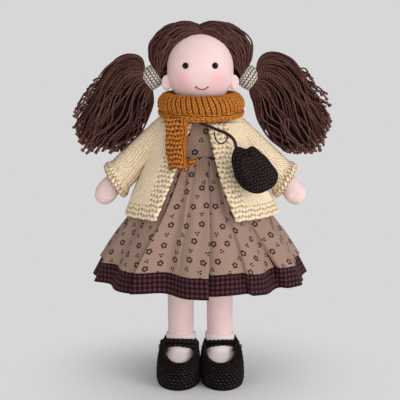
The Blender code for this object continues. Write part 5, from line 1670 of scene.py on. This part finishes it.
# the strap: share of its length, height of its middle, width
barValues = {"radius": 0.0168, "thick": 0.0026, "out": 0.0032, "overshoot": (0.10, 0.12), "scallop": 0.0004,
             "stitches": (4.0, 13.0), "relief": 0.0013, "cloth": (0.022, 0.06),
             "arch": ((0.0, 0.0350, 0.0100), (0.13, 0.0374, 0.0108), (0.26, 0.0408, 0.0086),
                      (0.5, 0.0430, 0.0068), (0.74, 0.0402, 0.0084), (0.87, 0.0366, 0.0104),
                      (1.0, 0.0336, 0.0100))}
buttonValues = {"spot": (0.0440, -0.0024, 0.0338), "axis": (1.0, -0.30, 0.05),
                "outline": ((0.0, 0.0022), (0.0012, 0.00215), (0.0022, 0.0019), (0.0029, 0.0013),
                            (0.0031, 0.0007), (0.0029, 0.0001), (0.0, 0.0))}


def shoeEdge(angle, side):
    # the mouth's edge: low over the toes, high at the heel
    back = 0.5 + 0.5 * np.sin(angle)
    wide, long = shoeValues["mouth"]
    return xyz(side * (shoeValues["centre"] - shoeValues["mouthIn"]) + np.cos(angle) * wide,
               -shoeValues["mouthForward"] + shoeValues["mouthBack"] * back ** 3 + np.sin(angle) * long,
               shoeValues["toe"] + (shoeValues["heel"] - shoeValues["toe"]) * back ** 1.15)


def shoeRound(angle, side, inward, ring, height):
    # the sole's outline, drawn in by inward
    wide, long = [half - inward for half in shoeValues["half"]]
    return xyz(side * shoeValues["centre"] + np.cos(angle) * ring * wide,
               -shoeValues["forward"] + np.sin(angle) * ring * long, height)


def shoePlace(u, v, side, inward=0.0):
    # v from the sole's edge up the wall to the mouth
    angle = u * fullTurn
    foot = shoeRound(angle, side, inward + 0.0006, 1.0, shoeValues["sole"] - 0.0004)
    edge = shoeEdge(angle, side)
    outwards = xyz(np.cos(angle), np.sin(angle), 0.0)
    gap = np.linalg.norm((foot - edge)[:, :2], axis=1)[:, None]
    rise = (edge[:, 2] - foot[:, 2])[:, None]
    upward = np.array([0.0, 0.0, 1.0])
    first = foot + outwards * 0.0016 + upward * rise * 0.50
    second = edge + outwards * (gap * 0.62 - inward) + upward * (0.0022 + rise * 0.10)
    w = v[:, None]
    return (1 - w) ** 3 * foot + 3 * (1 - w) ** 2 * w * first + 3 * (1 - w) * w ** 2 * second + w ** 3 * edge


def scaledCloth(wide, tall):
    return lambda u, v: (u * wide, v * tall)


def shoeCrochet(s, t, u, v):
    return crochetStitch(u * shoeValues["around"], t, 1.0, shoeValues["round"])


def soleRelief(s, t, u, v):
    edge = bell(v, 0.5, 0.16)
    around, up = shoeValues["soleStitches"]
    return crochetStitch(u * around, v * up, 1.0, 1.0) * edge + 0.4 * (1.0 - edge)


# the inner wall kept at a low relief so it takes the dark gap colour: painted shade inside the shoe
def liningShade(s, t, u, v):
    return np.full(len(u), shoeValues["lining"])


def barRelief(s, t, u, v):
    return stockingStitch(u * barValues["stitches"][0], v * barValues["stitches"][1], 1.0, 1.0, 0.9)


def softSock(name, shells):
    # foot and tube grown into one soft skin
    sock = linkPiece(name, joinMeshes(name + "Shells", shells), sockJersey)
    remesh = sock.modifiers.new("skin", "REMESH")
    remesh.mode = "VOXEL"
    remesh.voxel_size = sockValues["voxel"]
    smooth = sock.modifiers.new("soften", "SMOOTH")
    smooth.iterations, smooth.factor = sockValues["soften"]
    bpy.context.view_layer.update()
    mesh = bpy.data.meshes.new_from_object(sock.evaluated_get(bpy.context.evaluated_depsgraph_get()))
    bpy.data.objects.remove(sock)
    return mesh


for sideName, side in sides:
    legName = "leg_" + sideName

    def footForm(directions, side=side):
        points = directions * np.array(sockValues["footHalf"])
        points[:, 2] += sockValues["instep"] * easeIn((points[:, 1] + 0.016) / 0.02)
        return points + np.array(sockValues["footMiddle"]) * np.array([side, 1.0, 1.0])

    def sockPlace(u, v, side=side):
        radius = sockValues["radius"] + sockValues["edge"] * easeIn((v - 0.86) / 0.14)
        return xyz(side * legValues["spread"] + np.cos(u * fullTurn) * radius, np.sin(u * fullTurn) * radius,
                   sockValues["foot"] + v * sockValues["tall"])
    name = "sock_jersey_" + sideName
    shells = [ballMesh("sockFoot", 64, 40, footForm), cappedTube("sockTube", 48, 30, sockPlace)]
    fitPiece(name, softSock(name, shells), sockJersey, "sock_" + sideName, legName)

    def outerPlace(u, v, side=side):
        return shoePlace(u, v, side)

    def innerPlace(u, v, side=side):
        return shoePlace(u, v, side, shoeValues["wall"])
    name = "shoe_upper_crochet_" + sideName
    cloth = scaledCloth(*shoeValues["cloth"])
    outer = surfaceMesh("shoeOuter", 294, 92, outerPlace, cloth, shoeCrochet, shoeValues["relief"], weld=True)
    inner = surfaceMesh("shoeInner", 60, 20, innerPlace, cloth, liningShade, weld=True, flip=True)
    rimLine = shoeEdge(np.linspace(0.0, fullTurn, 90), side) + np.array([0.0, 0.0, 0.0004])
    rim = yarnMesh("shoeRim", [evenPoints(rimLine, spacing=0.0009)], shoeValues["rim"], shoeValues["rimPitch"],
                   ringSides=10, taper=1.0)
    fitPiece(name, joinMeshes(name, [outer, inner, rim]), yarns["shoeCotton"],
             "shoe_upper_" + sideName, legName)

    def solePlace(u, v, side=side):
        # flat below, one thick edge round
        ring = np.minimum(np.sin(v * math.pi) * 1.18, 1.0) ** 0.5
        height = shoeValues["sole"] * (0.5 - 0.5 * np.clip(np.cos(v * math.pi) * 1.6, -1.0, 1.0))
        return shoeRound(u * fullTurn, side, 0.0002, ring, height)
    name = "shoe_sole_crochet_" + sideName
    soleMesh = surfaceMesh(name, 276, 48, solePlace, scaledCloth(*shoeValues["soleCloth"]), soleRelief,
                           shoeValues["soleRelief"], weld=True)
    soleMesh.transform(Matrix.Translation((0.0, 0.0, shoeValues["soleLift"])))
    changeMesh(soleMesh, turnOutward)
    fitPiece(name, soleMesh, yarns["shoeCotton"], "shoe_sole_" + sideName, legName)

    def barPlace(u, v, side=side):
        # u across the band's section, v from the inner side over the foot to the button
        start, more = barValues["overshoot"]
        turn = start + v * (math.pi + more)
        angle = math.pi + turn if side > 0.0 else -turn
        section = u * fullTurn
        middle, height = readRows(barValues["arch"], v)
        half = barValues["thick"] * 0.5
        close = closedEnds(v, 0.015, 0.015)
        scallop = barValues["scallop"] * np.cos(v * fullTurn * 12.0)
        rise = (height * 0.5 + scallop) * blunt(np.sin(section), 0.6)
        radius = barValues["radius"] + half + barValues["out"] * easeIn((v - 0.80) / 0.2)
        radius = radius + half * blunt(np.cos(section), 0.6) * close
        return xyz(side * legValues["spread"] + np.cos(angle) * radius, np.sin(angle) * radius,
                   middle + rise * close)
    name = "shoe_strap_crochet_" + sideName
    barMesh = surfaceMesh(name, 84, 196, barPlace, scaledCloth(*barValues["cloth"]), barRelief,
                          barValues["relief"], weld=True)
    changeMesh(barMesh, turnOutward)
    fitPiece(name, barMesh, yarns["shoeCotton"], "shoe_strap_" + sideName, legName)

    name = "shoe_button_gloss_" + sideName
    mirror = np.array([side, 1.0, 1.0])
    seat = facing(buttonValues["axis"] * mirror, Vector(buttonValues["spot"] * mirror))
    fitPiece(name, spunMesh(name, buttonValues["outline"], 40, seat), buttonGloss,
             "shoe_button_" + sideName, legName)
print("shoes made")

# floor, backdrop and soft light
studioValues = {"ground": paint(246, 246, 246), "shown": paint(215, 215, 216), "clear": (0.05, 0.22),
                "world": 0.42, "front": -2.5, "back": 1.2, "bend": 0.8, "top": 3.5, "wide": 6.0,
                "aim": (0.0, 0.0, 0.2),
                # each light: place, size, power
                "lights": {"key": ((1.2, -0.85, 0.72), 0.8, 10.2), "fill": ((-1.2, -1.1, 0.9), 1.2, 4.2),
                           "low": ((0.35, -1.35, 0.16), 0.7, 8.4)}}


def addFloor(bm):
    # flat, then bent up behind the object
    back, bend = studioValues["back"], studioValues["bend"]
    turns = [math.pi / 2 * k / 12 for k in range(13)]
    outline = [(studioValues["front"], 0.0), (back, 0.0)]
    outline += [(back + bend * math.sin(turn), bend - bend * math.cos(turn)) for turn in turns]
    outline.append((back + bend, studioValues["top"]))
    verts = [bm.verts.new((studioValues["wide"] / -2.0, y, z)) for y, z in outline]
    edges = [bm.edges.new(pair) for pair in zip(verts, verts[1:])]
    swept = bmesh.ops.extrude_edge_only(bm, edges=edges)["geom"]
    bmesh.ops.translate(bm, verts=[item for item in swept if isinstance(item, bmesh.types.BMVert)],
                        vec=(studioValues["wide"], 0.0, 0.0))
    turnOutward(bm)


def paperMaterial():
    # away from the object the paper shows as one even grey
    material, tree, shader = startMaterial("paper", studioValues["ground"], 0.95, gloss=0.0)
    plain = addNode(tree, "ShaderNodeEmission", {"Color": (*studioValues["shown"], 1.0)})
    rays = addNode(tree, "ShaderNodeLightPath").outputs
    mirrored = calc(tree, "MAXIMUM", rays["Is Glossy Ray"], rays["Is Transmission Ray"])
    seen = calc(tree, "MAXIMUM", rays["Is Camera Ray"], mirrored)
    away = addNode(tree, "ShaderNodeVectorMath", operation="LENGTH")
    tree.links.new(objectPlace(tree), away.inputs[0])
    blend = addNode(tree, "ShaderNodeMixShader")
    clear = ramp(tree, away.outputs["Value"], *studioValues["clear"])
    tree.links.new(times(tree, seen, clear), blend.inputs[0])
    tree.links.new(shader.outputs[0], blend.inputs[1])
    tree.links.new(plain.outputs[0], blend.inputs[2])
    tree.links.new(blend.outputs[0], tree.nodes["Material Output"].inputs["Surface"])
    return material


def softLight(name, location, size, power):
    light = bpy.data.objects.new(name, bpy.data.lights.new(name, "AREA"))
    light.data.size = size
    light.data.energy = power
    light.visible_glossy = name == "key"
    light.location = location
    light.rotation_euler = (Vector(studioValues["aim"]) - Vector(location)).to_track_quat("-Z", "Y").to_euler()
    bpy.context.scene.collection.objects.link(light)


linkPiece("floor", newMesh("floor", addFloor), paperMaterial())
for name, values in studioValues["lights"].items():
    softLight(name, *values)
world = bpy.data.worlds.new("world")
bpy.context.scene.world = world
world.use_nodes = True
world.node_tree.nodes["Background"].inputs["Color"].default_value = (1.0, 1.0, 1.0, 1.0)
world.node_tree.nodes["Background"].inputs["Strength"].default_value = studioValues["world"]
bpy.context.scene.view_settings.view_transform = "Standard"
print("studio made")
